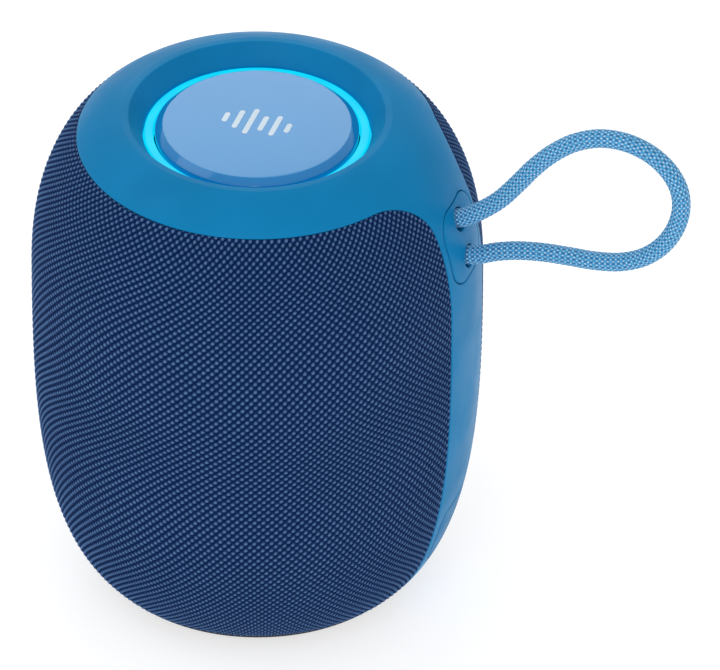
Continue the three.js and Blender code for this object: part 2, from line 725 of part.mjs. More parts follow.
// A sprung strap over the cell, with two feet on the tray.
function batteryStrap() {
  const outer = BATTERY.radius + 1.5;
  const inner = BATTERY.radius + 0.4;
  const centre = -BATTERY.x;
  const foot = TRAY_Z + 1.8 + GAP;
  const shape = new THREE.Shape();
  shape.moveTo(centre + outer, foot);
  shape.absarc(centre, BATTERY.z, outer, 0, Math.PI);
  shape.lineTo(centre - outer, foot);
  shape.lineTo(centre - inner, foot);
  shape.absarc(centre, BATTERY.z, inner, Math.PI, 0, true);
  shape.lineTo(centre + inner, foot);
  return pushed(shape, -4, 4, ALONG_Y, 12);
}

function mainBoard() {
  const top = MAIN_BOARD_Z + 1.4;
  const plate = box([6.5, 33], [-22, 22], [MAIN_BOARD_Z, top]);
  const chips = [
    box([15, 22], [-4, 4], [top - 0.2, top + 1]),
    box([24, 30], [-13, -7], [top - 0.2, top + 3.4]),
    box([24, 29], [6, 11], [top - 0.2, top + 0.9]),
  ];
  const plugs = [
    box([7.6, 12.6], [14, 19.5], [top - 0.2, top + 3.6]),
    box([7.6, 12.6], [-21.5, -16], [top - 0.2, top + 3.6]),
    box([15.6, 20.6], [16, 21.5], [top - 0.2, top + 3.6]),
  ];
  const cans = [[15, -11], [27, -1]].map(([x, y]) => bar(2.6, top - 0.2, top + 7, x, y, ALONG_Z, 8));
  const holes = STANDOFFS.map(([x, y]) => bar(0.7, MAIN_BOARD_Z - 1, MAIN_BOARD_Z + 0.6, x, y, ALONG_Z, 8));
  return without(joined([plate, ...chips, ...plugs, ...cans]), holes);
}

// Leads are held between their boards all the way. Each one is a jacketed pair.
const LEAD_RADIUS = 0.8;
const LEADS = {
  battery_lead: [
    ...[[-10, 33.6, 81], [-9, 35.4, 84], [-3, 36, 85], [3.5, 32, 82]],
    ...[[8, 26, 77.5], [10, 22, 75], [10.1, 19.9, 74.6]],
  ],
  driver_lead: [
    ...[[9, -23.5, 43.4], [8.5, -27, 47], [6, -30.6, 55], [6, -31, 63]],
    ...[[6, -31, 68], [8, -28, 73.5], [10, -24.4, 74.9], [10.1, -21.9, 74.6]],
  ],
  port_lead: [
    ...[[26.2, -4, 21.1], [27, -4, 25], [29.4, -1.6, 31], [31, 0, 36], [31.4, 0, 46]],
    ...[[33, 0, 58], [33, 0, 64], [32.6, 0, 68], [31, 0, 70.7]],
  ],
  button_lead: [
    ...[[0, 38.1, 72], [1.5, 36, 71.2], [6, 31.5, 72], [13, 26.6, 74.2]],
    ...[[17.6, 23.6, 74.9], [18.1, 21.9, 74.6]],
  ],
};

const lead = (points) => tube(points.map((p) => new THREE.Vector3(...p)), LEAD_RADIUS, 9, 5);

// ---- fasteners ----------------------------------------------------------------------------
// A pan-head screw with its head's underside at the origin and its shank along -Z.
function screw(headRadius, headHeight, shankRadius, length) {
  return turned(
    [
      [0, -length],
      [shankRadius, -length],
      [shankRadius, 0],
      [headRadius, 0],
      [headRadius * 0.85, headHeight],
      [0, headHeight],
    ],
    8,
  );
}

// ---- assembly -----------------------------------------------------------------------------
const speaker = new THREE.Group();

function place(name, shape, material) {
  const geometry = shape.isBufferGeometry ? shape : geometryOf(shape);
  const mesh = new THREE.Mesh(geometry, material);
  mesh.name = name;
  speaker.add(mesh);
  return mesh;
}

function placeScrews(name, circle, z, shape, pointingUp = false) {
  ringOf(4, circle, (x, y, _, i) => {
    const mesh = place(`${name}_${i + 1}`, shape, DARK_STEEL);
    mesh.position.set(x, y, z);
    if (pointingUp) mesh.rotation.x = Math.PI;
  });
}

place("top_cap", topCap(), BLUE);
place("fabric_sleeve", fabricSleeve(), NAVY);
place("barrel", barrel(), BLACK);
place("base_cover", baseCover(), BLACK);
place("foot_ring", footRing(), RUBBER);
place("sound_cone", soundCone(), BLACK);
placeScrews("base_screw", BASE_SCREW_CIRCLE, 3.2, screw(2, 0.9, 1, 3.8), true);

place("light_ring", lightRing(), GLOW);
place("light_board", lightBoard(), BOARD);
place("radiator_cap", radiatorCap(), GLOSS_BLUE);
place("radiator_weight", radiatorWeight(), STEEL);
place("radiator_surround", rolledSurround(11.4, 21.2, 1.8, FRAME_Z + 1.9, 2.3, SURROUND_WALL), RUBBER);
place("radiator_frame", radiatorFrame(), BLACK);
placeScrews("radiator_screw", FRAME_SCREW_CIRCLE, FRAME_Z + 1.9, screw(1.9, 1, 1, 3));

place("lanyard_plate", lanyardPlate(), BLUE);
place("lanyard_cord", lanyardCord(), ROPE_BLUE);
place("rope_clamp", ropeClamp(), BLACK);
const clampScrew = place("clamp_screw", screw(1.9, 1, 1, 11), DARK_STEEL);
clampScrew.position.set(31.4, 0, PLATE.z);
clampScrew.rotation.y = -Math.PI / 2;

place("port_flap", portFlap(), BLUE);
place("usb_socket", usbSocket(), STEEL);
place("card_socket", cardSocket(), STEEL);
place("port_board", portBoard(), BOARD);

place("control_panel", controlPanel(), BLUE);
BUTTONS.forEach((name, i) => place(name, button(i), BLUE));
place("button_board", buttonBoard(), BOARD);

place("driver_baffle", driverBaffle(), BLACK);
place("driver_basket", driverBasket(), DARK_STEEL);
place("driver_top_plate", driverTopPlate(), STEEL);
place("driver_magnet", driverMagnet(), FERRITE);
place("driver_yoke", driverYoke(), STEEL);
place("voice_coil", voiceCoil(), COPPER);
place("driver_cone", driverCone(), PAPER);
place("dust_cap", dustCap(), PAPER);
place("driver_surround", rolledSurround(15.5, 21.6, 1.2, DRIVER_Z - GAP, -1.6, SURROUND_WALL), RUBBER);
place("driver_spider", driverSpider(), PAPER);
placeScrews("driver_screw", DRIVER_SCREW_CIRCLE, DRIVER_Z + 1.5, screw(1.7, 1, 0.9, 3.6));

place("chassis_tray", chassisTray(), BLACK);
placeScrews("tray_screw", POST_CIRCLE, TRAY_Z + 2.1, screw(2, 1.2, 1, 7));
place("battery_cell", batteryCell(), CELL);
place("battery_strap", batteryStrap(), STEEL);
place("main_board", mainBoard(), BOARD);
Object.entries(LEADS).forEach(([name, points]) => place(name, lead(points), WIRE));

export default speaker;
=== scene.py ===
"""The looks of a barrel-shaped party speaker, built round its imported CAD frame.

Shapes are worked out in millimetres and become metres when a mesh is made. +Z is up, the spine
and its rope are on +X, the front is -Y and the control panel is on +Y.
"""

import json
import math

import bmesh
import bpy
import numpy as np
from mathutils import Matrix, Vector
from mathutils.geometry import delaunay_2d_cdt


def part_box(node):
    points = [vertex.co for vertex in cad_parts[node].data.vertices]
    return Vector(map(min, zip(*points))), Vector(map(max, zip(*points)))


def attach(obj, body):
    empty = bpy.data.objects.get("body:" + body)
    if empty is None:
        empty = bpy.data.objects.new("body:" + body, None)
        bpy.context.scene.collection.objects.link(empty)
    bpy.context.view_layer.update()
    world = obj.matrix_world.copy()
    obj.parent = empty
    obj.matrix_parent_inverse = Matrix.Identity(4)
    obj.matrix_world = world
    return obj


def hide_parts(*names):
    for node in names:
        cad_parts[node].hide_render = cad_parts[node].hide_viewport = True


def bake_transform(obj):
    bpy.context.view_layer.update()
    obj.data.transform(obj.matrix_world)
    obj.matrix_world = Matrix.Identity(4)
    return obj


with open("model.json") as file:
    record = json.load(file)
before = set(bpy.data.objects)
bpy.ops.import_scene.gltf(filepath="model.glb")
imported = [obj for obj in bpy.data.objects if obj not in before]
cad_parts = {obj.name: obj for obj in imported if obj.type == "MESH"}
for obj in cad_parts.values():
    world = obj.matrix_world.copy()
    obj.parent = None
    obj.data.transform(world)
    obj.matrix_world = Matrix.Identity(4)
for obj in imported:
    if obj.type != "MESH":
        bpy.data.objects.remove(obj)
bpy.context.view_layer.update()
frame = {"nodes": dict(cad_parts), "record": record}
MM = 0.001


def box_mm(node):
    """The lowest and highest corner of a CAD node, in millimetres."""
    low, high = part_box(node)
    return np.array(low) / MM, np.array(high) / MM


# ---- driving dimensions, in millimetres ----------------------------
TOP_Z = box_mm("top_cap")[1][2]  # rim of the top cap
MAX_RADIUS = -box_mm("fabric_sleeve")[0][1]  # the barrel at its widest
WIDEST_Z = 76.5
RIM_RADIUS = 28.1  # outer edge of the flat crest round the top recess
RECESS_RADIUS = 26.7  # inner edge of the same crest
FOOT_RADIUS = 32.0  # where the barrel's curve ends near the table
FOOT_Z = 2.0

CAP_EDGE_Z = 107.0  # where the moulded cap meets the fabric
CAP_WALL = 2.2
SPINE_HALF = 10.3  # half the width of the spine
SPINE_FOOT_HALF = 8.4  # half its width at the bottom
SPINE_TAPER_Z = 26.0
SPINE_BOTTOM_Z = 3.4
SPINE_CORNER = 1.6
FLARE_RADIUS = 9.3  # fillet between the spine and the cap's edge

RING_TOP_Z = box_mm("light_ring")[1][2]
RING_INNER = 21.5
RING_OUTER = 23.5
RING_FLANGE_RADIUS = 25.5
RING_FLANGE_HEIGHT = 0.8
LIP_RADIUS = 23.8  # foot of the recess's sloping wall
DISC_RADIUS = box_mm("radiator_cap")[1][0]
DISC_TOP_Z = box_mm("radiator_cap")[1][2]

PLATE = {"width": 16.5, "height": 16.6, "corner": 5.2, "z": 91.0, "depth": 2.0}
FLAP = {"width": 15.4, "height": 13.6, "corner": 4.0, "z": 18.4, "depth": 1.5}
PANEL = {"width": 14.5, "height": 47.0, "corner": 7.2, "z": 68.0, "depth": 2.0}
ROPE_RADIUS = 1.95
ROPE_HOLE_RADIUS = 2.5
ROPE_HOLE_Z = (95.5, 86.7)
KEYS = ("power_button", "volume_down_button", "volume_up_button", "play_button")
KEY_RADIUS = 4.0
KEY_PROUD = 0.4
KEY_DEPTH = 3.4
SIGN_PROUD = 0.12

SEAM = 0.16  # visible gap between neighbouring pieces of the casing
EDGE = 0.4  # rounding of a moulded edge
THREAD = 0.885  # pitch of the fabric's threads, down the skin

SPINE_SIDE = 0.0  # azimuths, from +X towards +Y
PANEL_SIDE = math.pi / 2

# ---- camera --------------------------------------------------------
VIEW_AZIMUTH = math.radians(18)
VIEW_ELEVATION = math.radians(35)
VIEW_WIDTH = 150.0  # width of the picture where the speaker stands
VIEW_CENTRE_Z = 56.6
VIEW_CENTRE_RIGHT = 21.35  # how far the picture's middle is to the right of the barrel's axis
LENS = 1500.0
SENSOR = 36.0


def view_vectors():
    """Unit vectors from the object to the camera, and to the right in the picture."""
    across, up = math.cos(VIEW_ELEVATION), math.sin(VIEW_ELEVATION)
    back = Vector((math.sin(VIEW_AZIMUTH) * across, -math.cos(VIEW_AZIMUTH) * across, up))
    right = Vector((math.cos(VIEW_AZIMUTH), math.sin(VIEW_AZIMUTH), 0))
    return back, right


def aim(obj, target):
    """Turns a camera or a lamp so that it looks at a point."""
    away = obj.location - Vector(target)
    obj.rotation_euler = away.to_track_quat("Z", "Y").to_euler()


def make_camera():
    back, right = view_vectors()
    centre = (Vector((0, 0, VIEW_CENTRE_Z)) + VIEW_CENTRE_RIGHT * right) * MM
    data = bpy.data.cameras.new("camera")
    data.lens = LENS
    data.sensor_width = SENSOR
    data.sensor_fit = "HORIZONTAL"
    camera = bpy.data.objects.new("camera", data)
    camera.location = centre + back * (VIEW_WIDTH * MM * LENS / SENSOR)
    aim(camera, centre)
    bpy.context.scene.collection.objects.link(camera)
    bpy.context.scene.camera = camera
    bpy.context.scene.view_settings.view_transform = "Standard"


make_camera()


# ---- meshes --------------------------------------------------------
class Shell:
    """Collects the points and faces of one mesh, in millimetres."""

    def __init__(self):
        self.points = []
        self.count = 0
        self.faces = []

    def add(self, points):
        """Adds points and gives back their numbers."""
        points = np.asarray(points, float)
        self.points.append(points)
        self.count += len(points)
        return np.arange(self.count - len(points), self.count)

    def bridge(self, ring, other, closed=True):
        """Quads between two rows with as many points each."""
        last = len(ring) if closed else len(ring) - 1
        for i in range(last):
            j = (i + 1) % len(ring)
            self.faces.append((int(ring[i]), int(ring[j]), int(other[j]), int(other[i])))

    def rows(self, rows, closed=True):
        """Bridges each row to the next one."""
        for ring, other in zip(rows, rows[1:]):
            self.bridge(ring, other, closed)

    def fan(self, ring, tip):
        for i in range(len(ring)):
            self.faces.append((int(ring[i]), int(ring[(i + 1) % len(ring)]), int(tip)))

    def build(self, name, material, smooth_angle=35.0):
        points = np.concatenate(self.points) * MM
        mesh = bpy.data.meshes.new(name)
        mesh.from_pydata(points.tolist(), [], self.faces)
        bm = bmesh.new()
        bm.from_mesh(mesh)
        bmesh.ops.recalc_face_normals(bm, faces=bm.faces)
        bm.to_mesh(mesh)
        bm.free()
        mesh.shade_smooth()
        if smooth_angle < 180:
            mesh.set_sharp_from_angle(angle=math.radians(smooth_angle))
        mesh.materials.append(material)
        piece = bpy.data.objects.new(name, mesh)
        bpy.context.scene.collection.objects.link(piece)
        return piece


def settle(piece, body, slot, *nodes):
    """Rides a piece on its body, in place of CAD nodes. The material slot is not used."""
    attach(piece, body)
    if nodes:
        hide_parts(*nodes)


def rounded_profile(corners, steps=4):
    """A profile through (r, z, rounding) corners, each rounded by an arc."""
    count = len(corners)
    made = []
    for i, (r, z, rounding) in enumerate(corners):
        here = np.array([r, z])
        if rounding == 0:
            made.append(here)
            continue
        before = np.array(corners[i - 1][:2]) - here
        after = np.array(corners[(i + 1) % count][:2]) - here
        before /= np.linalg.norm(before)
        after /= np.linalg.norm(after)
        half = math.acos(np.clip(before @ after, -1, 1)) / 2
        reach = rounding / math.tan(half)
        middle = before + after
        centre = here + middle / np.linalg.norm(middle) * rounding / math.sin(half)
        start = here + before * reach - centre
        end = here + after * reach - centre
        sweep = math.atan2(start[0] * end[1] - start[1] * end[0], start @ end)
        for k in range(steps + 1):
            turn = sweep * k / steps
            c, s = math.cos(turn), math.sin(turn)
            made.append(centre + [start[0] * c - start[1] * s, start[0] * s + start[1] * c])
    return np.array(made)


def step_lengths(points):
    return np.linalg.norm(np.diff(points, axis=0), axis=1)


def running_sum(values):
    """Sums of the values so far, from 0."""
    return np.concatenate([[0], np.cumsum(values)])


def unit(vectors):
    return vectors / np.linalg.norm(vectors, axis=1)[:, None]


def azimuths(count):
    return np.arange(count) * 2 * math.pi / count


def circle_of(radius, z, angles):
    """Points round the Z axis."""
    return np.stack([radius * np.cos(angles), radius * np.sin(angles), np.full(len(angles), z)], 1)


def turned(name, profile, material, sides, smooth_angle=35.0):
    """A solid of revolution from a closed profile, or one that starts and ends on the axis."""
    shell = Shell()
    angles = azimuths(sides)
    on_axis = profile[0][0] < 1e-6
    ring_rows = profile[1:-1] if on_axis else profile
    rings = [shell.add(circle_of(r, z, angles)) for r, z in ring_rows]
    if on_axis:
        shell.rows(rings)
        shell.fan(rings[0], shell.add([[0, 0, profile[0][1]]])[0])
        shell.fan(rings[-1], shell.add([[0, 0, profile[-1][1]]])[0])
    else:
        shell.rows([*rings, rings[0]])
    return shell.build(name, material, smooth_angle)


# ---- the outer skin ------------------------------------------------
def bezier(points, count):
    t = np.linspace(0, 1, count)[:, None]
    a, b, c, d = np.array(points, float)
    return a * (1 - t) ** 3 + 3 * b * t * (1 - t) ** 2 + 3 * c * t * t * (1 - t) + d * t**3


SKIN_STEPS = 1500
WIDEST = (MAX_RADIUS, WIDEST_Z)
SHOULDER = bezier([(RIM_RADIUS, TOP_Z), (38.5, 110.1), (MAX_RADIUS, 98.6), WIDEST], SKIN_STEPS)
FLANK = bezier([WIDEST, (MAX_RADIUS, 41.4), (46, 12.7), (FOOT_RADIUS, FOOT_Z)], SKIN_STEPS)
SKIN = np.concatenate([SHOULDER, FLANK[1:]])
SKIN_R, SKIN_Z = SKIN[:, 0], SKIN[:, 1]
STEP_LENGTH = step_lengths(SKIN)
ARC = running_sum(STEP_LENGTH)  # length along the skin from the rim
# The skin is drawn flat on a chart that keeps its angles: azimuth stays, and the distance from
# the chart's centre is e to the power of this sum.
LATITUDE = running_sum(STEP_LENGTH / ((SKIN_R[1:] + SKIN_R[:-1]) / 2))
TANGENT = unit(np.gradient(SKIN, axis=0))


def latitude_at(z):
    return np.interp(-np.asarray(z, float), -SKIN_Z, LATITUDE)


def latitude_along(arc):
    return np.interp(arc, ARC, LATITUDE)


def to_chart(azimuth, latitude):
    reach = np.exp(latitude)
    return np.stack([reach * np.cos(azimuth), reach * np.sin(azimuth)], -1)


def from_chart(points):
    return np.arctan2(points[:, 1], points[:, 0]), np.log(np.hypot(points[:, 0], points[:, 1]))


def chart_scale(points):
    """How much longer the chart draws a millimetre of skin, at each point."""
    reach = np.hypot(points[:, 0], points[:, 1])
    return reach / np.interp(np.log(reach), LATITUDE, SKIN_R)


def on_skin(points, lift):
    """Chart points as places in space, lifted off the skin."""
    azimuth, latitude = from_chart(points)
    along_r = np.interp(latitude, LATITUDE, TANGENT[:, 0])
    along_z = np.interp(latitude, LATITUDE, TANGENT[:, 1])
    r = np.interp(latitude, LATITUDE, SKIN_R) - lift * along_z
    z = np.interp(latitude, LATITUDE, SKIN_Z) + lift * along_r
    return np.stack([r * np.cos(azimuth), r * np.sin(azimuth), z], 1)


def seen_from(side, across, z):
    """Chart points of places given by how far across and how high they are, seen from a side."""
    latitude = latitude_at(z)
    radius = np.interp(latitude, LATITUDE, SKIN_R)
    return to_chart(side + np.arcsin(np.asarray(across) / radius), latitude)


# ---- outlines on the chart -----------------------------------------
def evenly(points, step, closed=True):
    """Points of the same line, a step apart."""
    points = np.asarray(points, float)
    if closed:
        points = np.concatenate([points, points[:1]])
    length = running_sum(step_lengths(points))
    count = max(8, round(length[-1] / step))
    at = np.linspace(0, length[-1], count + 1)
    if closed:
        at = at[:-1]
    return np.stack([np.interp(at, length, points[:, i]) for i in (0, 1)], 1)


def arc_points(x, y, radius, start, end, count=24):
    angles = np.radians(np.linspace(start, end, count))
    return np.stack([x + radius * np.cos(angles), y + radius * np.sin(angles)], 1)


def rounded_rectangle(inset, step, grow):
    w = inset["width"] / 2 + grow
    h = inset["height"] / 2 + grow
    r = min(inset["corner"] + grow, w, h)
    z = inset["z"]
    corners = [
        arc_points(w - r, z - h + r, r, -90, 0),
        arc_points(w - r, z + h - r, r, 0, 90),
        arc_points(-w + r, z + h - r, r, 90, 180),
        arc_points(-w + r, z - h + r, r, 180, 270),
    ]
    return evenly(np.concatenate(corners), step)


def inset_loop(inset, side, grow=0.0, step=0.7):
    outline = rounded_rectangle(inset, step, grow)
    return seen_from(side, outline[:, 0], outline[:, 1])


def round_loop(side, z, radius, step=0.5):
    outline = evenly(arc_points(0, z, radius, 0, 360, 97)[:-1], step)
    return seen_from(side, outline[:, 0], outline[:, 1])


def casing_loop(grow=0.0):
    """The lower edge of the cap, all round and down along both sides of the spine."""
    step = 0.9
    flare_z = CAP_EDGE_Z - FLARE_RADIUS
    flare_y = SPINE_HALF + FLARE_RADIUS
    t = np.linspace(0, 1, 30)[:, None]
    taper = (
        (1 - t) ** 2 * [-SPINE_HALF, SPINE_TAPER_Z]
        + 2 * t * (1 - t) * np.array([-SPINE_HALF, SPINE_TAPER_Z / 2])
        + t**2 * [-SPINE_FOOT_HALF, SPINE_BOTTOM_Z + SPINE_CORNER]
    )
    half = np.concatenate(
        [
            arc_points(-flare_y, flare_z, FLARE_RADIUS, 90, 0, 30),
            [[-SPINE_HALF, z] for z in np.linspace(flare_z, SPINE_TAPER_Z, 80)[1:-1]],
            taper,
            arc_points(
                SPINE_CORNER - SPINE_FOOT_HALF,
                SPINE_BOTTOM_Z + SPINE_CORNER,
                SPINE_CORNER,
                180,
                270,
                8,
            )[1:],
        ]
    )
    sides = np.concatenate([half, half[::-1] * [-1, 1]])
    sides = evenly(sides, step, closed=False)
    low = seen_from(SPINE_SIDE, sides[:, 0], sides[:, 1])
    first, last = from_chart(low[[-1, 0]])[0]
    turn = last % (2 * math.pi) - first
    count = round(turn * MAX_RADIUS / step)
    round_top = to_chart(first + turn * np.arange(1, count) / count, latitude_at(CAP_EDGE_Z))
    loop = oriented(np.concatenate([round_top, low]), True)
    return inwards(loop, -grow) if grow else loop


def oriented(loop, anticlockwise):
    x, y = loop[:, 0], loop[:, 1]
    area = np.sum(x * np.roll(y, -1) - np.roll(x, -1) * y)
    return loop if (area > 0) == anticlockwise else loop[::-1]


def inwards(loop, distance):
    """The loop moved to its left by a distance on the skin."""
    along = unit(np.roll(loop, -1, 0) - np.roll(loop, 1, 0))
    left = np.stack([-along[:, 1], along[:, 0]], 1)
    return loop + left * (distance * chart_scale(loop))[:, None]


def next_points(loops):
    """For each point of the loops, the point after it."""
    return np.concatenate([np.roll(loop, -1, 0) for loop in loops])


def edges_of(loop, first=0):
    count = len(loop)
    return [(first + i, first + (i + 1) % count) for i in range(count)]


def is_inside(points, starts, ends):
    """Even-odd test of points against edges."""
    inside = np.zeros(len(points), bool)
    x, y = points[:, 0], points[:, 1]
    for (ax, ay), (bx, by) in zip(starts, ends):
        if ay == by:
            continue
        crosses = (ay > y) != (by > y)
        inside ^= crosses & (x < (bx - ax) * (y - ay) / (by - ay) + ax)
    return inside


def distance_to(points, others):
    """Distance on the skin from each point to the nearest of the others."""
    best = np.full(len(points), np.inf)
    for first in range(0, len(others), 64):
        gap = points[:, None, :] - others[None, first : first + 64, :]
        best = np.minimum(best, np.sqrt((gap**2).sum(2)).min(1))
    return best / chart_scale(points)


def lattice(loops, step):
    """Points inside the loops, in rows down the skin and columns round it."""
    edge = np.concatenate(loops)
    columns = azimuths(round(2 * math.pi * MAX_RADIUS / step))
    rows = latitude_along(np.arange(step, ARC[-1], step))
    points = to_chart(columns[None, :], rows[:, None]).reshape(-1, 2)
    low, high = edge.min(0), edge.max(0)
    points = points[((points > low) & (points < high)).all(1)]
    points = points[is_inside(points, edge, next_points(loops))]
    return points[distance_to(points, edge) > 0.7 * step]


def triangles(points, edges):
    """Triangles between points, kept where they lie inside the edges by the even-odd rule."""
    vectors = [Vector(p) for p in points.tolist()]
    _, _, faces, sources, _, _ = delaunay_2d_cdt(vectors, edges, [], 0, 1e-7)
    origin = [source[0] for source in sources]
    faces = np.array([[origin[i] for i in face] for face in faces])
    ends = np.array(edges)
    keep = is_inside(points[faces].mean(1), points[ends[:, 0]], points[ends[:, 1]])
    return faces[keep]


def sheet_between(loops, step):
    """A flat mesh between loops: its points, its triangles and the numbers of each loop's points."""
    points = np.concatenate([*loops, lattice(loops, step)])
    edges, numbers, first = [], [], 0
    for loop in loops:
        edges += edges_of(loop, first)
        numbers.append(np.arange(first, first + len(loop)))
        first += len(loop)
    return points, triangles(points, edges), numbers


def skin_piece(name, material, loops, depth, edge=EDGE, lift=0.0, step=1.2, crest=None, steps=4):
    """A moulded piece in the skin: a face, rounded edges, a wall and a back. The first loop is the
    outline and the others are holes. A crest is a hole whose rows are given as (radius, z)."""
    shell = Shell()
    loops = [oriented(loop, i == 0) for i, loop in enumerate(loops)]
    rims = [inwards(loop, edge) for loop in loops]
    open_rims = [] if crest is None else [oriented(crest["loop"], False)]
    points, faces, numbers = sheet_between([*rims, *open_rims], step)
    front = shell.add(on_skin(points, lift))
    back = shell.add(on_skin(points, lift - depth))
    shell.faces += front[faces].tolist()
    shell.faces += back[faces[:, ::-1]].tolist()
    for loop, ids in zip(loops, numbers):
        rows = [front[ids]]
        for k in range(1, steps + 1):
            turn = math.pi / 2 * k / steps
            line = inwards(loop, edge * (1 - math.sin(turn)))
            rows.append(shell.add(on_skin(line, lift - edge * (1 - math.cos(turn)))))
        rows.append(shell.add(on_skin(loop, lift - depth)))
        shell.rows([*rows, back[ids]])
    if crest is not None:
        ids = numbers[-1]
        angles = from_chart(points[ids])[0]
        rows = [shell.add(circle_of(r, z, angles)) for r, z in crest["rows"]]
        shell.rows([front[ids], *rows, back[ids]])
    piece = shell.build(name, material, 50.0)
    weighted = piece.modifiers.new("even_shading", "WEIGHTED_NORMAL")
    weighted.keep_sharp = True
    return piece


# ---- materials -----------------------------------------------------
def tint(*display):
    """A colour for a shader, from its display values of 0 to 255."""
    shares = [value / 255 for value in display]
    linear = [c / 12.92 if c <= 0.04045 else ((c + 0.055) / 1.055) ** 2.4 for c in shares]
    return (*linear, 1.0)


def scaled(colour, factor):
    """A lighter or darker version of a colour."""
    return (*(min(1.0, c * factor) for c in colour[:3]), 1.0)


class Look:
    """A material round one Principled shader, with short calls for its nodes."""

    def __init__(self, name, colour, roughness, **shader):
        self.material = bpy.data.materials.new(name)
        self.material.use_nodes = True
        self.tree = self.material.node_tree
        self.shader = self.tree.nodes["Principled BSDF"]
        self.set(self.shader, {"Base Color": colour, "Roughness": roughness})
        self.set(self.shader, {key.replace("_", " "): value for key, value in shader.items()})

    def set(self, made, values):
        for key, value in values.items():
            if isinstance(value, bpy.types.NodeSocket):
                self.tree.links.new(value, made.inputs[key])
            else:
                made.inputs[key].default_value = value

    def node(self, kind, values, **settings):
        made = self.tree.nodes.new("ShaderNode" + kind)
        for key, value in settings.items():
            setattr(made, key, value)
        self.set(made, values)
        return made

    def math(self, operation, *values):
        return self.node("Math", dict(enumerate(values)), operation=operation).outputs[0]

    def cosine(self, value, factor):
        return self.math("COSINE", self.math("MULTIPLY", value, factor))

    def place(self):
        """The place on the object, in metres."""
        return self.node("TexCoord", {}).outputs["Object"]

    def parts(self, vector):
        return self.node("SeparateXYZ", {0: vector}).outputs

    def ramp(self, value, low, high, to_low=0.0, to_high=1.0):
        """A smooth step from one value to another."""
        values = {"Value": value, "From Min": low, "From Max": high}
        values.update({"To Min": to_low, "To Max": to_high})
        return self.node("MapRange", values, interpolation_type="SMOOTHSTEP").outputs["Result"]

    def mix(self, share, colour_a, colour_b):
        made = self.node("Mix", {0: share}, data_type="RGBA")
        self.set(made, {6: colour_a, 7: colour_b})
        return made.outputs[2]

    def noise(self, size, detail, where=None, stretch=None, roughness=0.5):
        """Noise of a size in millimetres, or of a size in the units of the coordinates given."""
        if where is None:
            where = self.place()
            size = size * MM
        if stretch is not None:
            where = self.node("Mapping", {"Vector": where, "Scale": stretch}).outputs[0]
        values = {"Vector": where, "Scale": 1 / size, "Detail": detail, "Roughness": roughness}
        return self.node("TexNoise", values).outputs[0]

    def bump(self, height, depth, strength, under=None):
        """Relief of a depth in millimetres."""
        values = {"Height": height, "Distance": depth * MM, "Strength": strength}
        if under is not None:
            values["Normal"] = under
        return self.node("Bump", values).outputs[0]

    def vary(self, colour, size, amount):
        """A colour that drifts a little lighter and darker across the piece."""
        share = self.ramp(self.noise(size, 2.0), 0.3, 0.7)
        return self.mix(share, scaled(colour, 1 - amount), scaled(colour, 1 + amount))

    def finished(self, colour, roughness, relief):
        """The material, once its shader has its colour, its roughness and its relief."""
        self.set(self.shader, {"Base Color": colour, "Roughness": roughness, "Normal": relief})
        return self.material


def moulded(name, colour, roughness, grain=0.02, grain_size=0.3, **shader):
    """Moulded plastic: a spark-eroded grain, faint flow marks and rubbed, smoother patches."""
    look = Look(name, colour, roughness, **shader)
    rubbed = look.ramp(look.noise(9.0, 4.0), 0.35, 0.7, roughness - 0.05, roughness + 0.06)
    fine = look.bump(look.noise(grain_size, 2.0, roughness=0.65), grain, 0.6)
    flow = look.bump(look.noise(16.0, 1.0), 0.06, 0.25, fine)
    return look.finished(look.vary(colour, 22.0, 0.05), rubbed, flow)


def polished(name, colour):
    """Lacquered plastic: deep gloss with a trace of orange peel and a few fine wipe marks."""
    coat = {"Coat_Weight": 0.7, "Coat_Roughness": 0.05}
    look = Look(name, colour, 0.12, IOR=1.5, Specular_IOR_Level=0.15, **coat)
    wipes = look.noise(1.2, 2.0, stretch=(1.0, 0.12, 1.0))
    rough = look.ramp(wipes, 0.45, 0.8, 0.1, 0.16)
    peel = look.bump(look.noise(3.0, 1.0), 0.004, 0.3)
    return look.finished(look.vary(colour, 25.0, 0.03), rough, peel)


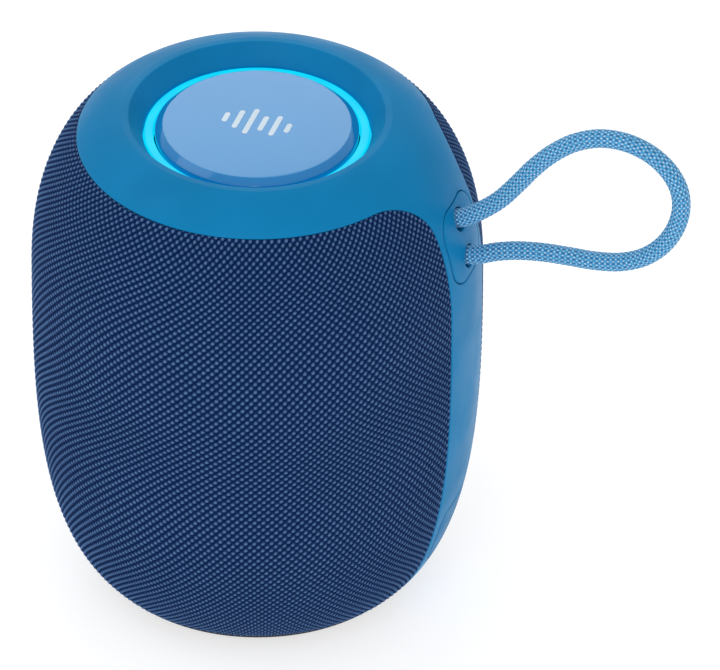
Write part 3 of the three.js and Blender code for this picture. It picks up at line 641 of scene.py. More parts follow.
def woven(name, light, dark, hole_shade):
    """Plain weave on the "weave" map, one thread a unit: pale yarn over dark yarn by turns. The
    yarns are twisted, so each pale float leans a little to one side."""
    look = Look(name, dark, 0.85, Sheen_Weight=0.02, Sheen_Roughness=0.5, Specular_IOR_Level=0.05)
    uv = look.node("UVMap", {}, uv_map="weave").outputs[0]
    parts = look.parts(uv)
    rising = look.cosine(look.math("ADD", parts[0], parts[1]), math.pi)
    falling = look.cosine(look.math("SUBTRACT", parts[0], parts[1]), math.pi)
    crossing = look.math("ADD", look.math("MULTIPLY", rising, 0.6), look.math("MULTIPLY", falling, 0.4))
    over = look.math("MAXIMUM", look.math("DIVIDE", look.math("ADD", crossing, 0.3), 1.3), 0.0)
    over = look.math("POWER", over, 1.3)
    under = look.ramp(look.math("MULTIPLY", crossing, -1.0), 0.1, 0.9)
    # Painted shade: the holes between the threads are darkened towards a deeper navy.
    gap = look.ramp(look.math("MULTIPLY", rising, falling), -0.25, -1.0)
    over_fibre = look.noise(1.0, 3.0, where=uv, stretch=(7.0, 2.0, 1.0))
    under_fibre = look.noise(1.0, 3.0, where=uv, stretch=(2.0, 7.0, 1.0))
    yarn = look.noise(1.0, 1.0, where=uv, stretch=(0.9, 0.5, 1.0))
    shade = look.noise(14.0, 2.0, where=uv)
    lights = look.mix(look.ramp(over_fibre, 0.3, 0.7), scaled(light, 0.8), light)
    darks = look.mix(look.ramp(under_fibre, 0.3, 0.7), scaled(dark, 0.7), dark)
    share = look.math("MULTIPLY", over, look.ramp(yarn, 0.25, 0.6, 0.82, 1.0))
    share = look.math("MULTIPLY", share, look.ramp(shade, 0.3, 0.7, 0.93, 1.0))
    cloth = look.mix(look.math("MULTIPLY", gap, 0.8), look.mix(share, darks, lights), hole_shade)
    height = look.math("MAXIMUM", over, look.math("MULTIPLY", under, 0.6))
    upper = look.math("MULTIPLY", over_fibre, over)
    lower = look.math("MULTIPLY", under_fibre, under)
    relief = look.bump(look.math("ADD", upper, lower), 0.04, 0.5, look.bump(height, 0.1, 0.4))
    return look.finished(cloth, look.ramp(height, 0.0, 1.0, 0.95, 0.78), relief)


def braided(name, pale, middle, deep):
    """Diamond braid on the "braid" map, whose floats lie at whole and at half places."""
    look = Look(name, middle, 0.7, Sheen_Weight=0.25, Sheen_Roughness=0.35)
    uv = look.node("UVMap", {}, uv_map="braid").outputs[0]
    parts = look.parts(uv)
    rising = look.cosine(look.math("ADD", parts[0], parts[1]), math.pi)
    falling = look.cosine(look.math("SUBTRACT", parts[0], parts[1]), math.pi)
    float_height = look.math("ABSOLUTE", look.math("MULTIPLY", rising, falling))
    fleck = look.ramp(float_height, 0.42, 0.98)
    round_by, along_by = (look.cosine(parts[i], 2 * math.pi) for i in (1, 0))
    # Painted shade: one set of the holes between the floats is darkened towards the deep blue.
    hole_shade = look.math("SUBTRACT", round_by, along_by)
    below = look.mix(look.ramp(hole_shade, -0.6, 1.7), middle, deep)
    fibre = look.noise(1.0, 3.0, where=uv, stretch=(7.0, 7.0, 1.0))
    strand = look.noise(1.0, 1.0, where=uv, stretch=(0.7, 0.8, 1.0))
    share = look.math("MULTIPLY", fleck, look.ramp(strand, 0.3, 0.65, 0.55, 1.0))
    cover = look.mix(share, below, pale)
    cover = look.mix(look.ramp(fibre, 0.2, 0.8, 0.0, 0.35), cover, middle)
    relief = look.bump(fibre, 0.04, 0.5, look.bump(float_height, 0.12, 0.6))
    return look.finished(cover, look.ramp(fibre, 0.2, 0.8, 0.6, 0.8), relief)


LAMPS_ROUND = 12.0


def glowing(name, colour, unlit, strength):
    """A lit diffuser: brighter over each lamp, with a fine frosted surface."""
    look = Look(name, unlit, 0.45, Specular_IOR_Level=0.2)
    parts = look.parts(look.place())
    lamps = look.cosine(look.math("ARCTAN2", parts[1], parts[0]), LAMPS_ROUND)
    level = look.ramp(lamps, -1.0, 1.0, strength * 0.96, strength * 1.03)
    frost = look.bump(look.noise(0.25, 2.0), 0.01, 0.4)
    look.set(look.shader, {"Emission Color": colour, "Emission Strength": level, "Normal": frost})
    return look.material


def rubber(name, colour, roughness=0.7, **shader):
    """Moulded rubber: matt, with a soft bloom and dust in its grain."""
    look = Look(name, colour, roughness, **shader)
    bloom = look.ramp(look.noise(6.0, 4.0), 0.4, 0.75, roughness - 0.08, roughness + 0.1)
    grain = look.bump(look.noise(0.2, 2.0, roughness=0.7), 0.02, 0.7)
    return look.finished(look.vary(colour, 8.0, 0.12), bloom, grain)


def metal(name, colour, roughness):
    """Bare or plated metal with drawn scratches and a slightly uneven plating."""
    look = Look(name, colour, roughness, Metallic=1.0)
    drawn = look.noise(2.5, 3.0, stretch=(1.0, 1.0, 14.0))
    rough = look.ramp(drawn, 0.3, 0.7, roughness * 0.75, roughness * 1.35)
    scratch = look.bump(drawn, 0.006, 0.4)
    return look.finished(look.vary(colour, 5.0, 0.08), rough, scratch)


def board(name, colour, copper):
    """Circuit board: lacquer over raised tracks, with the tracks paler than the gaps."""
    look = Look(name, colour, 0.35, Coat_Weight=0.4, Coat_Roughness=0.15)
    values = {"Vector": look.place(), "Scale": 1 / (2.2 * MM), "Randomness": 0.35}
    cells = look.node("TexVoronoi", values, feature="DISTANCE_TO_EDGE", distance="MANHATTAN").outputs[0]
    tracks = look.ramp(cells, 0.03, 0.09, 1.0, 0.0)
    fibre = look.noise(0.4, 2.0)
    relief = look.bump(fibre, 0.01, 0.3, look.bump(tracks, 0.035, 0.7))
    lacquer = look.ramp(fibre, 0.3, 0.7, 0.28, 0.42)
    return look.finished(look.mix(tracks, colour, copper), lacquer, relief)


def pressed_paper(name, colour):
    """Cone paper: short fibres, matt and slightly mottled."""
    look = Look(name, colour, 0.85)
    fibres = look.noise(0.8, 5.0, stretch=(1.0, 3.0, 1.0), roughness=0.7)
    mottled = look.mix(look.ramp(fibres, 0.35, 0.7), colour, scaled(colour, 1.9))
    relief = look.bump(fibres, 0.04, 0.8)
    return look.finished(mottled, look.ramp(fibres, 0.3, 0.7, 0.78, 0.92), relief)


def wound(name, colour):
    """Copper wire wound in close turns round the Z axis, with painted shade in the grooves between the
    turns.
    """
    look = Look(name, colour, 0.3, Metallic=1.0)
    wire = 0.22 * MM
    z = look.parts(look.place())[2]
    turns = look.math("ABSOLUTE", look.math("SINE", look.math("MULTIPLY", z, math.pi / wire)))
    rough = look.ramp(turns, 0.0, 1.0, 0.5, 0.28)
    # Painted shade: the colour darkens to about a third in the grooves between the turns.
    return look.finished(look.mix(turns, scaled(colour, 0.35), colour), rough, look.bump(turns, 0.08, 0.9))


BLUE = moulded("moulded_blue", tint(6, 122, 176), 0.42, Specular_IOR_Level=0.08)
# The disc's base blue is lighter than the casing's; part of that lift is painted reflection, added to the
# real gloss.
GLOSS = polished("gloss_blue", tint(14, 132, 198))
KEY_BLUE = rubber("key_blue", tint(14, 118, 172), 0.55, Specular_IOR_Level=0.2)
SYMBOL = moulded("symbol_white", tint(205, 222, 235), 0.5)
# The fabric's third colour is painted shade, for the holes between its threads.
FABRIC = woven("navy_weave", tint(94, 130, 178), tint(0, 35, 82), tint(0, 22, 62))
# The rope's deepest blue is painted shade, for the holes between its floats.
ROPE = braided("blue_braid", tint(200, 227, 246), tint(54, 150, 202), tint(0, 92, 150))
GLOW = glowing("cyan_glow", tint(0, 214, 250), tint(0, 50, 64), 1.0)
BLACK = moulded("black_plastic", tint(26, 27, 30), 0.5, 0.03, 0.35)
RUBBER = rubber("black_rubber", tint(28, 28, 30))
LOOKS = {
    "moulded_blue": BLUE,
    "gloss_blue": GLOSS,
    "navy_fabric": FABRIC,
    "glow_ring": GLOW,
    "rope": ROPE,
    "key_rubber": KEY_BLUE,
    "black_plastic": BLACK,
    "rubber": RUBBER,
    "steel": metal("plated_steel", tint(190, 192, 196), 0.28),
    "dark_steel": metal("black_zinc", tint(58, 60, 66), 0.4),
    "ferrite": moulded("ferrite", tint(44, 44, 47), 0.65, 0.05, 0.25),
    "copper": wound("copper_winding", tint(205, 120, 62)),
    "cone_paper": pressed_paper("cone_paper", tint(34, 35, 39)),
    "circuit_board": board("circuit_board", tint(12, 70, 44), tint(38, 118, 74)),
    "battery_wrap": moulded("battery_wrap", tint(30, 92, 170), 0.22, 0.01, 0.8),
    "lead": rubber("lead_jacket", tint(170, 30, 34), 0.45),
}


# ---- lanyard rope --------------------------------------------------
# The rope's way in the plane y = 0, as x and z, out of the upper hole and back into the lower one.
ROPE_ROUTE = [
    (32.5, 95.5), (37.5, 95.5), (42, 95.4), (45, 96.1), (48.5, 98.4), (52.9, 102.3),
    (56.6, 106.9), (60.3, 111.9), (64.3, 116.3), (69.2, 120.1), (74.8, 122.3), (80.4, 122.4),
    (85.5, 120.6), (89.4, 117.3), (91.7, 113.1), (92.2, 108.4), (91, 103.2), (88.3, 98.4),
    (84.2, 94.5), (79.2, 92.2), (73.6, 91.3), (68, 91.2), (62.3, 91), (56.6, 90.2),
    (52, 88.9), (48.6, 87.5), (45, 86.8), (42, 86.7), (37.5, 86.7), (32.5, 86.7),
]
FLOAT_PITCH = 1.25  # length along the rope from one float to the next in line
FLOATS_ROUND = 13
FLOAT_STEPS = 6  # mesh steps from one float to the next
FLOAT_RELIEF = 0.1


def smooth_route(points, step):
    """Centripetal Catmull-Rom curve through the points, sampled a step apart."""
    points = np.array(points, float)
    ends = [2 * points[0] - points[1], 2 * points[-1] - points[-2]]
    points = np.concatenate([ends[:1], points, ends[1:]])
    knots = running_sum(step_lengths(points) ** 0.5)
    made = []
    for i in range(1, len(points) - 2):
        t = np.linspace(knots[i], knots[i + 1], 40, endpoint=False)[:, None]
        p, k = points[i - 1 : i + 3], knots[i - 1 : i + 3]

        def between(a, b, start, end):
            return a * (end - t) / (end - start) + b * (t - start) / (end - start)

        low = [between(p[j], p[j + 1], k[j], k[j + 1]) for j in range(3)]
        high = [between(low[j], low[j + 1], k[j], k[j + 2]) for j in range(2)]
        made.append(between(*high, k[1], k[2]))
    return evenly(np.concatenate([*made, points[-2:-1]]), step, closed=False)


def braid_height(along, turn):
    """How high the braid stands, from 0 between its strands to 1 on a float."""
    return np.abs(np.cos(np.pi * (along + turn)) * np.cos(np.pi * (along - turn)))


def map_round(piece, name, places, turns, column):
    """A UV map from a place for each vertex, unbroken where the pattern closes round the piece."""
    mesh = piece.data
    vertex = np.zeros(len(mesh.loops), np.int64)
    mesh.loops.foreach_get("vertex_index", vertex)
    first = np.zeros(len(mesh.polygons), np.int64)
    mesh.polygons.foreach_get("loop_start", first)
    uv = places[vertex].astype(float)
    values = uv[:, column]
    spread = np.maximum.reduceat(values, first) - np.minimum.reduceat(values, first)
    broken = np.repeat(spread > turns / 2, np.diff(np.append(first, len(vertex))))
    values[broken & (values < turns / 2)] += turns
    mesh.uv_layers.new(name=name).data.foreach_set("uv", uv.ravel())


def lanyard_rope():
    line = smooth_route(ROPE_ROUTE, FLOAT_PITCH / FLOAT_STEPS)
    sides = FLOATS_ROUND * FLOAT_STEPS
    ahead = unit(np.gradient(line, axis=0))
    angles = azimuths(sides)
    turn = angles / (2 * math.pi) * FLOATS_ROUND
    shell = Shell()
    rings = []
    for i, ((x, z), (dx, dz)) in enumerate(zip(line, ahead)):
        height = braid_height(i / FLOAT_STEPS, turn)
        radius = ROPE_RADIUS + FLOAT_RELIEF * (height - 0.6)
        out = radius * np.cos(angles)
        ring = np.stack([x - dz * out, radius * np.sin(angles), z + dx * out], 1)
        rings.append(shell.add(ring))
    shell.rows(rings)
    for ring, (x, z) in ((rings[0], line[0]), (rings[-1], line[-1])):
        shell.fan(ring, shell.add([[x, 0, z]])[0])
    rope = shell.build("lanyard_rope", ROPE, 180)
    along = np.repeat(np.arange(len(line)), sides) / FLOAT_STEPS
    places = np.stack([along, np.tile(turn, len(line))], 1)
    places = np.concatenate([places, [[0, 0], [along[-1], 0]]])
    map_round(rope, "braid", places, FLOATS_ROUND, 1)
    settle(rope, "casing", "rope", "lanyard_cord")


lanyard_rope()


# ---- casing --------------------------------------------------------
LIP_Z = RING_TOP_Z + 0.1
LIP_DEPTH = 2.0
LIP_BACK_Z = 108.2  # top of the lip's hidden side
CREST_STEPS = 260
CREST = {
    "loop": to_chart(azimuths(CREST_STEPS), np.full(CREST_STEPS, 0.004)),
    "rows": rounded_profile(
        [
            (RIM_RADIUS, TOP_Z, 0),
            (RECESS_RADIUS, TOP_Z, 0.45),
            (LIP_RADIUS, LIP_Z, 0.3),
            (LIP_RADIUS, LIP_Z - LIP_DEPTH, 0),
            (26.3, LIP_Z - LIP_DEPTH, 0),
            (26.9, LIP_BACK_Z, 0),
        ],
        5,
    ),
}


def top_cap():
    loops = [
        casing_loop(),
        inset_loop(PLATE, SPINE_SIDE, SEAM),
        inset_loop(FLAP, SPINE_SIDE, SEAM),
    ]
    cap = skin_piece("cap_with_spine", BLUE, loops, CAP_WALL, crest=CREST)
    settle(cap, "casing", "moulded_blue", "top_cap")


def lanyard_plate():
    loops = [inset_loop(PLATE, SPINE_SIDE, step=0.5)]
    loops += [round_loop(SPINE_SIDE, z, ROPE_HOLE_RADIUS) for z in ROPE_HOLE_Z]
    plate = skin_piece("rope_plate", BLUE, loops, PLATE["depth"], edge=0.3, step=0.8)
    settle(plate, "casing", "moulded_blue", "lanyard_plate")


def port_flap():
    flap = skin_piece("flap", KEY_BLUE, [inset_loop(FLAP, SPINE_SIDE, step=0.5)], FLAP["depth"], step=0.8)
    settle(flap, "flap", "key_rubber", "port_flap")


def key_height(i):
    low, high = box_mm(KEYS[i])
    return (low[2] + high[2]) / 2


def control_panel():
    loops = [inset_loop(PANEL, PANEL_SIDE, -SEAM)]
    loops += [round_loop(PANEL_SIDE, key_height(i), KEY_RADIUS + 0.2) for i in range(len(KEYS))]
    panel = skin_piece("rear_panel", BLUE, loops, PANEL["depth"], edge=0.35, step=0.9)
    settle(panel, "casing", "moulded_blue", "control_panel")


# The keys' signs, as outlines in millimetres round a key's centre.
def bar_sign(width, height, x=0.0, y=0.0):
    w, h = width / 2, height / 2
    return evenly([(x - w, y - h), (x + w, y - h), (x + w, y + h), (x - w, y + h)], 0.2)


def plus_sign():
    a, b = 0.26, 1.35
    corners = [(-a, -b), (a, -b), (a, -a), (b, -a), (b, a), (a, a), (a, b), (-a, b), (-a, a), (-b, a)]
    return evenly([*corners, (-b, -a), (-a, -a)], 0.2)


def triangle_sign():
    return evenly([(-1.5, -1.15), (0.35, 0), (-1.5, 1.15)], 0.2)


def open_ring_sign():
    outer = arc_points(0, -0.1, 1.45, 128, 412, 60)
    inner = arc_points(0, -0.1, 0.97, 412, 128, 48)
    return evenly(np.concatenate([outer, inner]), 0.2)


SIGNS = {
    "power_button": [open_ring_sign(), bar_sign(0.5, 1.5, 0, 0.95)],
    "volume_down_button": [bar_sign(2.7, 0.52)],
    "volume_up_button": [plus_sign()],
    "play_button": [triangle_sign(), bar_sign(0.42, 2.1, 0.85), bar_sign(0.42, 2.1, 1.65)],
}


def key_body(i):
    return KEYS[i].replace("button", "key")


def key_cap(i):
    name = KEYS[i]
    z = key_height(i)
    loop = round_loop(PANEL_SIDE, z, KEY_RADIUS, 0.35)
    key = skin_piece(name + "_cap", KEY_BLUE, [loop], KEY_DEPTH, 0.6, KEY_PROUD, 0.6, steps=5)
    settle(key, key_body(i), "key_rubber", name)
    for k, sign in enumerate(SIGNS[name]):
        loop = seen_from(PANEL_SIDE, sign[:, 0], z + sign[:, 1])
        top = KEY_PROUD + SIGN_PROUD
        raised = skin_piece(f"{name}_sign_{k + 1}", SYMBOL, [loop], 0.4, 0.05, top, 0.4, steps=2)
        settle(raised, key_body(i), "key_rubber")


# The stem, the flange and the core of a key, as distances from its middle line and places along Y.
STEM_PROFILE = [
    (0, 41),
    (1.2, 41),
    (1.2, 42.5),
    (4.7, 42.5),
    (4.7, 43.3),
    (3.7, 43.3),
    (3.7, 44),
    (0, 44),
]


def key_stem(i):
    """The flange that holds a key behind the panel, and the stem that reaches its switch."""
    angles = azimuths(48)
    z = key_height(i)
    shell = Shell()
    rows = []
    for r, y in STEM_PROFILE[1:-1]:
        x, up, _ = circle_of(r, 0, angles).T
        rows.append(shell.add(np.stack([x, np.full(len(x), y), up + z], 1)))
    shell.rows(rows)
    for row, end in ((rows[0], 0), (rows[-1], -1)):
        shell.fan(row, shell.add([[0, STEM_PROFILE[end][1], z]])[0])
    stem = shell.build(KEYS[i] + "_stem", KEY_BLUE)
    settle(stem, key_body(i), "key_rubber")


top_cap()
lanyard_plate()
port_flap()
control_panel()
for index in range(len(KEYS)):
    key_cap(index)
    key_stem(index)


# ---- fabric --------------------------------------------------------
THREADS_ROUND = 328
FABRIC_DEPTH = 0.9
FABRIC_BOTTOM_Z = 3.6
BACK_STEP = 4.0  # mesh step of the fabric's plain back
CREST_HEIGHT, DIP_HEIGHT, HOLE_HEIGHT = 0.05, -0.1, -0.24  # off the skin
FABRIC_EDGE_HEIGHT = -0.12
FABRIC_GAP = 0.06  # between the fabric and the casing
LOW_SIDE = math.radians(-72)  # where the cloth's rows hang lowest


def drift(azimuth, arc):
    """How far the stretched cloth has wandered round and down the skin, in millimetres."""
    turn = azimuth - LOW_SIDE
    round_by = 2.6 * np.cos(turn) + 0.25 * np.sin(7 * turn - arc / 13)
    sag = 1.4 * arc / ARC[-1] * np.cos(3 * turn)
    waves = 0.75 * np.sin((arc - 44) / 6.4 + 0.25 * np.sin(2 * turn)) + 0.3 * np.sin(5 * turn + arc / 9)
    return round_by, sag + waves


def thread_place(u, v):
    """Azimuth and length along the skin of a place counted in threads."""
    azimuth, arc = u * 2 * math.pi / THREADS_ROUND, v * THREAD
    round_by, down_by = drift(azimuth, arc)
    return azimuth + round_by / MAX_RADIUS, arc + down_by


def thread_count(points):
    """The other way: threads counted at chart points."""
    azimuth, latitude = from_chart(points)
    arc = np.interp(latitude, LATITUDE, ARC)
    base, length = azimuth, arc
    for _ in range(6):
        round_by, down_by = drift(base, length)
        base, length = azimuth - round_by / MAX_RADIUS, arc - down_by
    return np.stack([base * THREADS_ROUND / (2 * math.pi), length / THREAD], 1)


def fabric_outline():
    """The fabric's own edge: under the cap, down beside the spine and round the foot."""
    side = casing_loop(FABRIC_GAP)
    height = np.interp(from_chart(side)[1], LATITUDE, SKIN_Z)
    kept = height > FABRIC_BOTTOM_Z
    first = np.flatnonzero(kept & ~np.roll(kept, 1))[0]
    side = np.roll(side, -first, 0)[: kept.sum()]
    azimuth = from_chart(side)[0]
    start, end = azimuth[-1] % (2 * math.pi), azimuth[0] % (2 * math.pi)
    low, high = min(start, end), max(start, end)
    turn = high - low
    count = round(turn * FOOT_RADIUS / 0.8)
    bottom = to_chart(low + turn * np.arange(1, count) / count, latitude_at(FABRIC_BOTTOM_Z))
    if start > end:
        bottom = bottom[::-1]
    return oriented(np.concatenate([side, bottom]), True)


def weave_grid(top, bottom):
    """Holes and crossings of the weave between two lengths along the skin, each as chart points
    and as threads counted round and down."""
    rows = np.arange(math.ceil(top / THREAD), math.floor(bottom / THREAD))
    columns = np.arange(THREADS_ROUND)
    grids = []
    for at, down in ((columns - 0.5, np.append(rows, rows[-1] + 1) - 0.5), (columns, rows)):
        u, v = np.meshgrid(at, down)
        azimuth, arc = thread_place(u, v)
        grids.append((to_chart(azimuth, latitude_along(arc)), np.stack([u, v], -1)))
    return grids


def open_edges(kept, numbers):
    """The grid's edges between a kept cell and one that isn't kept."""
    edges = []
    beyond = np.zeros((1, kept.shape[1]), bool)
    tall = np.concatenate([beyond, kept, beyond])
    for row, column in np.argwhere(tall[1:] != tall[:-1]):
        edges.append((numbers[row, column], numbers[row, (column + 1) % THREADS_ROUND]))
    for row, column in np.argwhere(kept != np.roll(kept, 1, 1)):
        edges.append((numbers[row, column], numbers[row + 1, column]))
    return edges


def fabric_sleeve():
    loops = [fabric_outline(), oriented(inset_loop(PANEL, PANEL_SIDE), False)]
    rim = np.concatenate(loops)
    ends = next_points(loops)
    lengths = np.interp(from_chart(rim)[1], LATITUDE, ARC)
    (holes, hole_threads), (tops, top_threads) = weave_grid(lengths.min() - 2, lengths.max() + 2)

    def is_free(points):
        flat = points.reshape(-1, 2)
        free = is_inside(flat, rim, ends)
        free[free] = distance_to(flat[free], rim) > 0.4 * THREAD
        return free.reshape(points.shape[:2])

    free_hole, free_top = is_free(holes), is_free(tops)
    side = np.roll(free_hole, -1, 1)
    kept = free_top & free_hole[:-1] & free_hole[1:] & side[:-1] & side[1:]

    # Front vertices: the outlines, then the holes, then the crossings.
    points = np.concatenate([rim, holes[free_hole], tops[free_top]])
    hole_number = np.full(free_hole.shape, -1)
    hole_number[free_hole] = len(rim) + np.arange(free_hole.sum())
    top_number = np.full(free_top.shape, -1)
    top_number[free_top] = len(rim) + free_hole.sum() + np.arange(free_top.sum())
    is_over = (top_threads[free_top].sum(1) % 2) == 0
    lift = np.concatenate(
        [
            np.full(len(rim), FABRIC_EDGE_HEIGHT),
            np.full(free_hole.sum(), HOLE_HEIGHT),
            np.where(is_over, CREST_HEIGHT, DIP_HEIGHT),
        ]
    )
    threads = np.concatenate([thread_count(rim), hole_threads[free_hole], top_threads[free_top]])

    # Whole cells are pyramids, and a band of triangles joins them to the outlines.
    next_hole = np.roll(hole_number, -1, 1)
    corners = [hole_number[:-1], next_hole[:-1], next_hole[1:], hole_number[1:]]
    ring = [corner[kept] for corner in corners]
    centre = top_number[kept]
    cells = [np.stack([ring[k], ring[(k + 1) % 4], centre], 1) for k in range(4)]
    inner_edges = open_edges(kept, hole_number)
    in_band = np.ones(len(points), bool)
    in_band[np.concatenate([*ring, centre])] = False
    in_band[np.array(inner_edges).ravel()] = True
    band = np.flatnonzero(in_band)
    compact = np.zeros(len(points), np.int64)
    compact[band] = np.arange(len(band))
    outer_edges = edges_of(loops[0]) + edges_of(loops[1], len(loops[0]))
    edges = compact[np.array(outer_edges + inner_edges)].tolist()
    band_faces = band[triangles(points[band], edges)]

    shell = Shell()
    front = shell.add(on_skin(points, lift))
    shell.faces += front[np.concatenate([*cells, band_faces])].tolist()
    back_points, back_faces, numbers = sheet_between(loops, BACK_STEP)
    back = shell.add(on_skin(back_points, -FABRIC_DEPTH))
    shell.faces += back[back_faces[:, ::-1]].tolist()
    first = 0
    for loop, ids in zip(loops, numbers):
        shell.bridge(front[first : first + len(loop)], back[ids])
        first += len(loop)
    sleeve = shell.build("woven_sleeve", FABRIC, 180)
    sleeve.data.shade_flat()
    places = np.concatenate([threads, thread_count(back_points)])
    places[:, 0] = (places[:, 0] + 0.5) % THREADS_ROUND - 0.5
    map_round(sleeve, "weave", places, THREADS_ROUND, 0)
    settle(sleeve, "casing", "navy_fabric", "fabric_sleeve")


fabric_sleeve()


# ---- top: glossy disc and light ring -------------------------------
CHAMFER_WIDTH = 1.6
FACE_RADIUS = DISC_RADIUS - CHAMFER_WIDTH
FACE_DROP = 0.4  # how much lower the domed face is at its edge
DISC_BOTTOM_Z = 107.2
CHAMFER = rounded_profile(
    [
        (0, DISC_BOTTOM_Z, 0),
        (DISC_RADIUS, DISC_BOTTOM_Z, 0.4),
        (DISC_RADIUS, DISC_TOP_Z - CHAMFER_WIDTH, 0.55),
        (FACE_RADIUS, DISC_TOP_Z - FACE_DROP, 0.35),
        (0, DISC_TOP_Z - FACE_DROP, 0),
    ],
    6,
).tolist()[:-1]
PRINT_LIFT = 0.04
BAR_LENGTHS = (3.4, 6.6, 9.4, 5.4, 7.4, 3.4)
BAR_WIDTH = 1.15
BAR_PITCH = 2.7


def face_height(r):
    """Height of the disc's domed face."""
    return DISC_TOP_Z - FACE_DROP * (r / CHAMFER[-1][0]) ** 2


def glossy_disc():
    dome = [(r, face_height(r)) for r in np.linspace(CHAMFER[-1][0], 0, 24)[1:]]
    disc = turned("radiator_disc", [*CHAMFER, *dome], GLOSS, 256, 30)
    settle(disc, "radiator", "gloss_blue", "radiator_cap")


def level_sign():
    """A plain sound-level sign printed on the disc, read from the front."""
    for k, length in enumerate(BAR_LENGTHS):
        x = (k - (len(BAR_LENGTHS) - 1) / 2) * BAR_PITCH
        half = (length - BAR_WIDTH) / 2
        ends = [
            arc_points(x, half, BAR_WIDTH / 2, 0, 180, 13),
            arc_points(x, -half, BAR_WIDTH / 2, 180, 360, 13),
        ]
        outline = np.concatenate([*ends, [[x, 0]]])
        shell = Shell()
        layers = []
        for lift in (PRINT_LIFT, -PRINT_LIFT):
            heights = face_height(np.hypot(outline[:, 0], outline[:, 1])) + lift
            layers.append(shell.add(np.column_stack([outline, heights])))
            shell.fan(layers[-1][:-1], layers[-1][-1])
        shell.bridge(layers[0][:-1], layers[1][:-1])
        bar = shell.build(f"level_bar_{k + 1}", SYMBOL, 50)
        settle(bar, "radiator", "gloss_blue")


def light_ring():
    bottom_z = box_mm("light_ring")[0][2]
    flange_z = bottom_z + RING_FLANGE_HEIGHT
    profile = rounded_profile(
        [
            (RING_INNER, bottom_z, 0),
            (RING_INNER, RING_TOP_Z, 0.35),
            (RING_OUTER, RING_TOP_Z, 0.35),
            (RING_OUTER, flange_z, 0),
            (RING_FLANGE_RADIUS, flange_z, 0),
            (RING_FLANGE_RADIUS, bottom_z, 0),
        ]
    )
    ring = turned("glow_ring", profile, GLOW, 256)
    settle(ring, "casing", "glow_ring", "light_ring")


glossy_disc()
level_sign()
light_ring()


# ---- base ----------------------------------------------------------
FOOT_INNER = 21.0
FOOT_OUTER = 28.6
GROOVE_ROOM = 0.3  # the base's groove is this much wider than the foot, on each side
GROOVE_Z = 2.2
BASE_UNDER_Z = 1.2
BASE_TOP_Z = 4.6


def skin_at(z):
    return float(np.interp(-z, -SKIN_Z, SKIN_R))


def base_cover():
    profile = rounded_profile(
        [
            (FOOT_INNER - GROOVE_ROOM, BASE_UNDER_Z, 0.25),
            (FOOT_INNER - GROOVE_ROOM, GROOVE_Z, 0),
            (FOOT_OUTER + GROOVE_ROOM, GROOVE_Z, 0),
            (FOOT_OUTER + GROOVE_ROOM, BASE_UNDER_Z, 0.25),
            (31, 1.3, 0.4),
            (skin_at(2.1), 2.1, 0.3),
            (skin_at(2.9), 2.9, 0.3),
            (31.4, 3.05, 0),
            (30.4, BASE_TOP_Z, 0),
        ]
    )
    profile = [(0, BASE_UNDER_Z), *profile.tolist(), (0, BASE_TOP_Z)]
    cover = turned("bottom_cover", profile, BLACK, 192)
    settle(cover, "casing", "black_plastic", "base_cover")


def foot_ring():
    top_z = box_mm("foot_ring")[1][2]
    outline = [(FOOT_INNER, 0, 0.35), (FOOT_OUTER, 0, 0.5), (FOOT_OUTER, top_z, 0), (FOOT_INNER, top_z, 0)]
    ring = turned("rubber_foot", rounded_profile(outline), RUBBER, 192)
    settle(ring, "casing", "rubber", "foot_ring")


base_cover()
foot_ring()


# ---- suspensions of the radiator and the driver --------------------
SECTORS = 12
SUSPENSION_WALL = 0.5


def suspension(node, profile, slot):
    """A ring between the casing, outside, and a moving body, inside, made in sectors round the Z axis.
    Each sector is centred on its own middle line, and neighbours meet at their end faces."""
    half = math.pi / SECTORS
    for i in range(SECTORS):
        middle = 2 * half * i
        angles = middle + np.linspace(-half, half, 9)
        shell = Shell()
        rows = [shell.add(circle_of(r, z, angles)) for r, z in profile]
        shell.rows([*rows, rows[0]], closed=False)
        for end in (0, -1):
            shell.faces.append(tuple(int(row[end]) for row in rows))
        sector = shell.build(f"{node}_sector_{i + 1}", LOOKS[slot], 50)
        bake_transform(sector)
        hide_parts(node)


def roll_profile(inner, outer, land, z, bulge):
    """A flat outer land, a half roll and a flat inner land."""
    middle = (inner + outer) / 2
    reach = (outer - inner) / 2 - land
    way = math.copysign(1.0, bulge)
    turns = np.linspace(0, math.pi, 17)
    near = [(middle + reach * math.cos(turn), z + bulge * math.sin(turn)) for turn in turns]
    far_reach, far_bulge = reach + SUSPENSION_WALL, bulge + way * SUSPENSION_WALL
    far = [
        (middle - far_reach * math.cos(turn), z + far_bulge * math.sin(turn))
        for turn in turns
        if abs(far_bulge) * math.sin(turn) > SUSPENSION_WALL
    ]
    land_z = z + way * SUSPENSION_WALL
    return [(outer, z), *near, (inner, z), (inner, land_z), *far, (outer, land_z)]


def spider_profile(inner, width, ripples, height):
    """A corrugated disc, flat at both edges."""
    middle = box_mm("driver_spider")[0][2] + height
    across = np.linspace(0, 1, 8 * ripples + 1)
    swell = np.clip(np.minimum(across, 1 - across) * ripples, 0, 1)
    wave = height * swell * np.cos(math.pi * ripples * across)
    under = [(inner + width * t, middle + rise) for t, rise in zip(across, wave)]
    return under + [(r, z + SUSPENSION_WALL) for r, z in under[::-1]]


def suspensions():
    radiator_z = box_mm("radiator_surround")[0][2]
    driver_z = box_mm("driver_surround")[1][2]
    roll = roll_profile(inner=11.4, outer=21.2, land=1.8, z=radiator_z, bulge=2.3)
    suspension("radiator_surround", roll, "rubber")
    roll = roll_profile(inner=15.5, outer=21.6, land=1.2, z=driver_z, bulge=-1.6)
    suspension("driver_surround", roll, "rubber")
    corrugated = spider_profile(inner=8.8, width=8.0, ripples=7, height=0.6)
    suspension("driver_spider", corrugated, "cone_paper")


suspensions()


# ---- the CAD's own pieces ------------------------------------------
SHARP_ANGLE = math.radians(40)


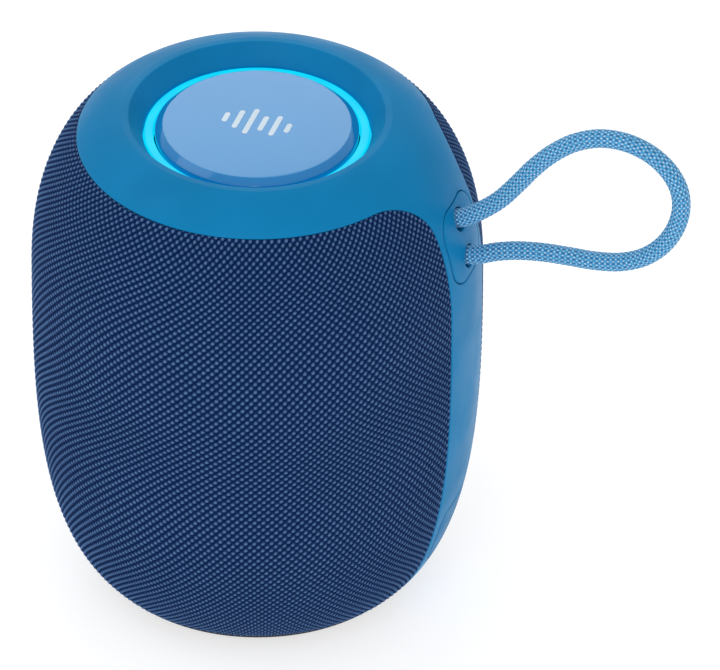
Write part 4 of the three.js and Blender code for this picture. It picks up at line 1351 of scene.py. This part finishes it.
def finish_cad_pieces():
    """Gives each CAD node that stays its material, smooth shading and softened edges."""
    slots = {row["node"]: row["material_slot"] for row in frame["record"]["subparts"]}
    for name, node in frame["nodes"].items():
        node.data.materials.clear()
        node.data.materials.append(LOOKS[slots[name]])
        weld = node.modifiers.new("weld", "WELD")
        weld.merge_threshold = 0.01 * MM
        bevel = node.modifiers.new("softened_edges", "BEVEL")
        bevel.width = 0.12 * MM
        bevel.limit_method = "ANGLE"
        bevel.angle_limit = SHARP_ANGLE
        bevel.harden_normals = False
        node.data.shade_smooth()
        node.data.set_sharp_from_angle(angle=SHARP_ANGLE)


finish_cad_pieces()


# ---- floor and light -----------------------------------------------
FLOOR_HALF = 20000.0
FLOOR_Z = -0.02  # just under the foot, so that the two faces don't flicker
LIT_Z = 60.0  # height on the speaker that the lamps look at


def floor():
    steps = np.linspace(-FLOOR_HALF, FLOOR_HALF, 41)
    x, y = np.meshgrid(steps, steps)
    shell = Shell()
    rows = shell.add(np.stack([x.ravel(), y.ravel(), np.full(x.size, FLOOR_Z)], 1)).reshape(x.shape)
    shell.rows(list(rows), closed=False)
    white = (1.0, 1.0, 1.0, 1.0)
    look = Look("pale_floor", white, 0.9, Emission_Color=white, Emission_Strength=0.66)
    relief = look.bump(look.noise(6.0, 3.0), 0.05, 0.2)
    look.set(look.shader, {"Base Color": look.vary((0.48, 0.48, 0.49), 300.0, 0.01), "Normal": relief})
    shell.build("floor", look.material, 180)


def soft_light(name, azimuth, elevation, distance, size, power, colour=(1.0, 1.0, 1.0)):
    """A round softbox that looks at the speaker, from an azimuth and elevation in degrees."""
    a, e = math.radians(azimuth), math.radians(elevation)
    data = bpy.data.lights.new(name, "AREA")
    data.shape = "DISK"
    data.size = size
    data.energy = power
    data.color = colour
    lamp = bpy.data.objects.new(name, data)
    away = Vector((math.sin(a) * math.cos(e), -math.cos(a) * math.cos(e), math.sin(e)))
    target = Vector((0, 0, LIT_Z * MM))
    lamp.location = away * distance + target
    aim(lamp, target)
    lamp.visible_camera = False
    bpy.context.scene.collection.objects.link(lamp)


def surroundings(strength):
    world = bpy.data.worlds.new("studio")
    bpy.context.scene.world = world
    world.use_nodes = True
    back = world.node_tree.nodes["Background"]
    back.inputs["Color"].default_value = (1.0, 1.0, 1.0, 1.0)
    back.inputs["Strength"].default_value = strength


floor()
surroundings(0.79)
soft_light("front", 4, 24, distance=1.3, size=1.0, power=2.6)
soft_light("behind", 203, 29, distance=1.2, size=0.6, power=1.7, colour=(0.9, 0.98, 1.0))
soft_light("streak", 14, 56, distance=1.2, size=0.22, power=0.4)
soft_light("left", -80, 52, distance=1.3, size=0.7, power=1.3)
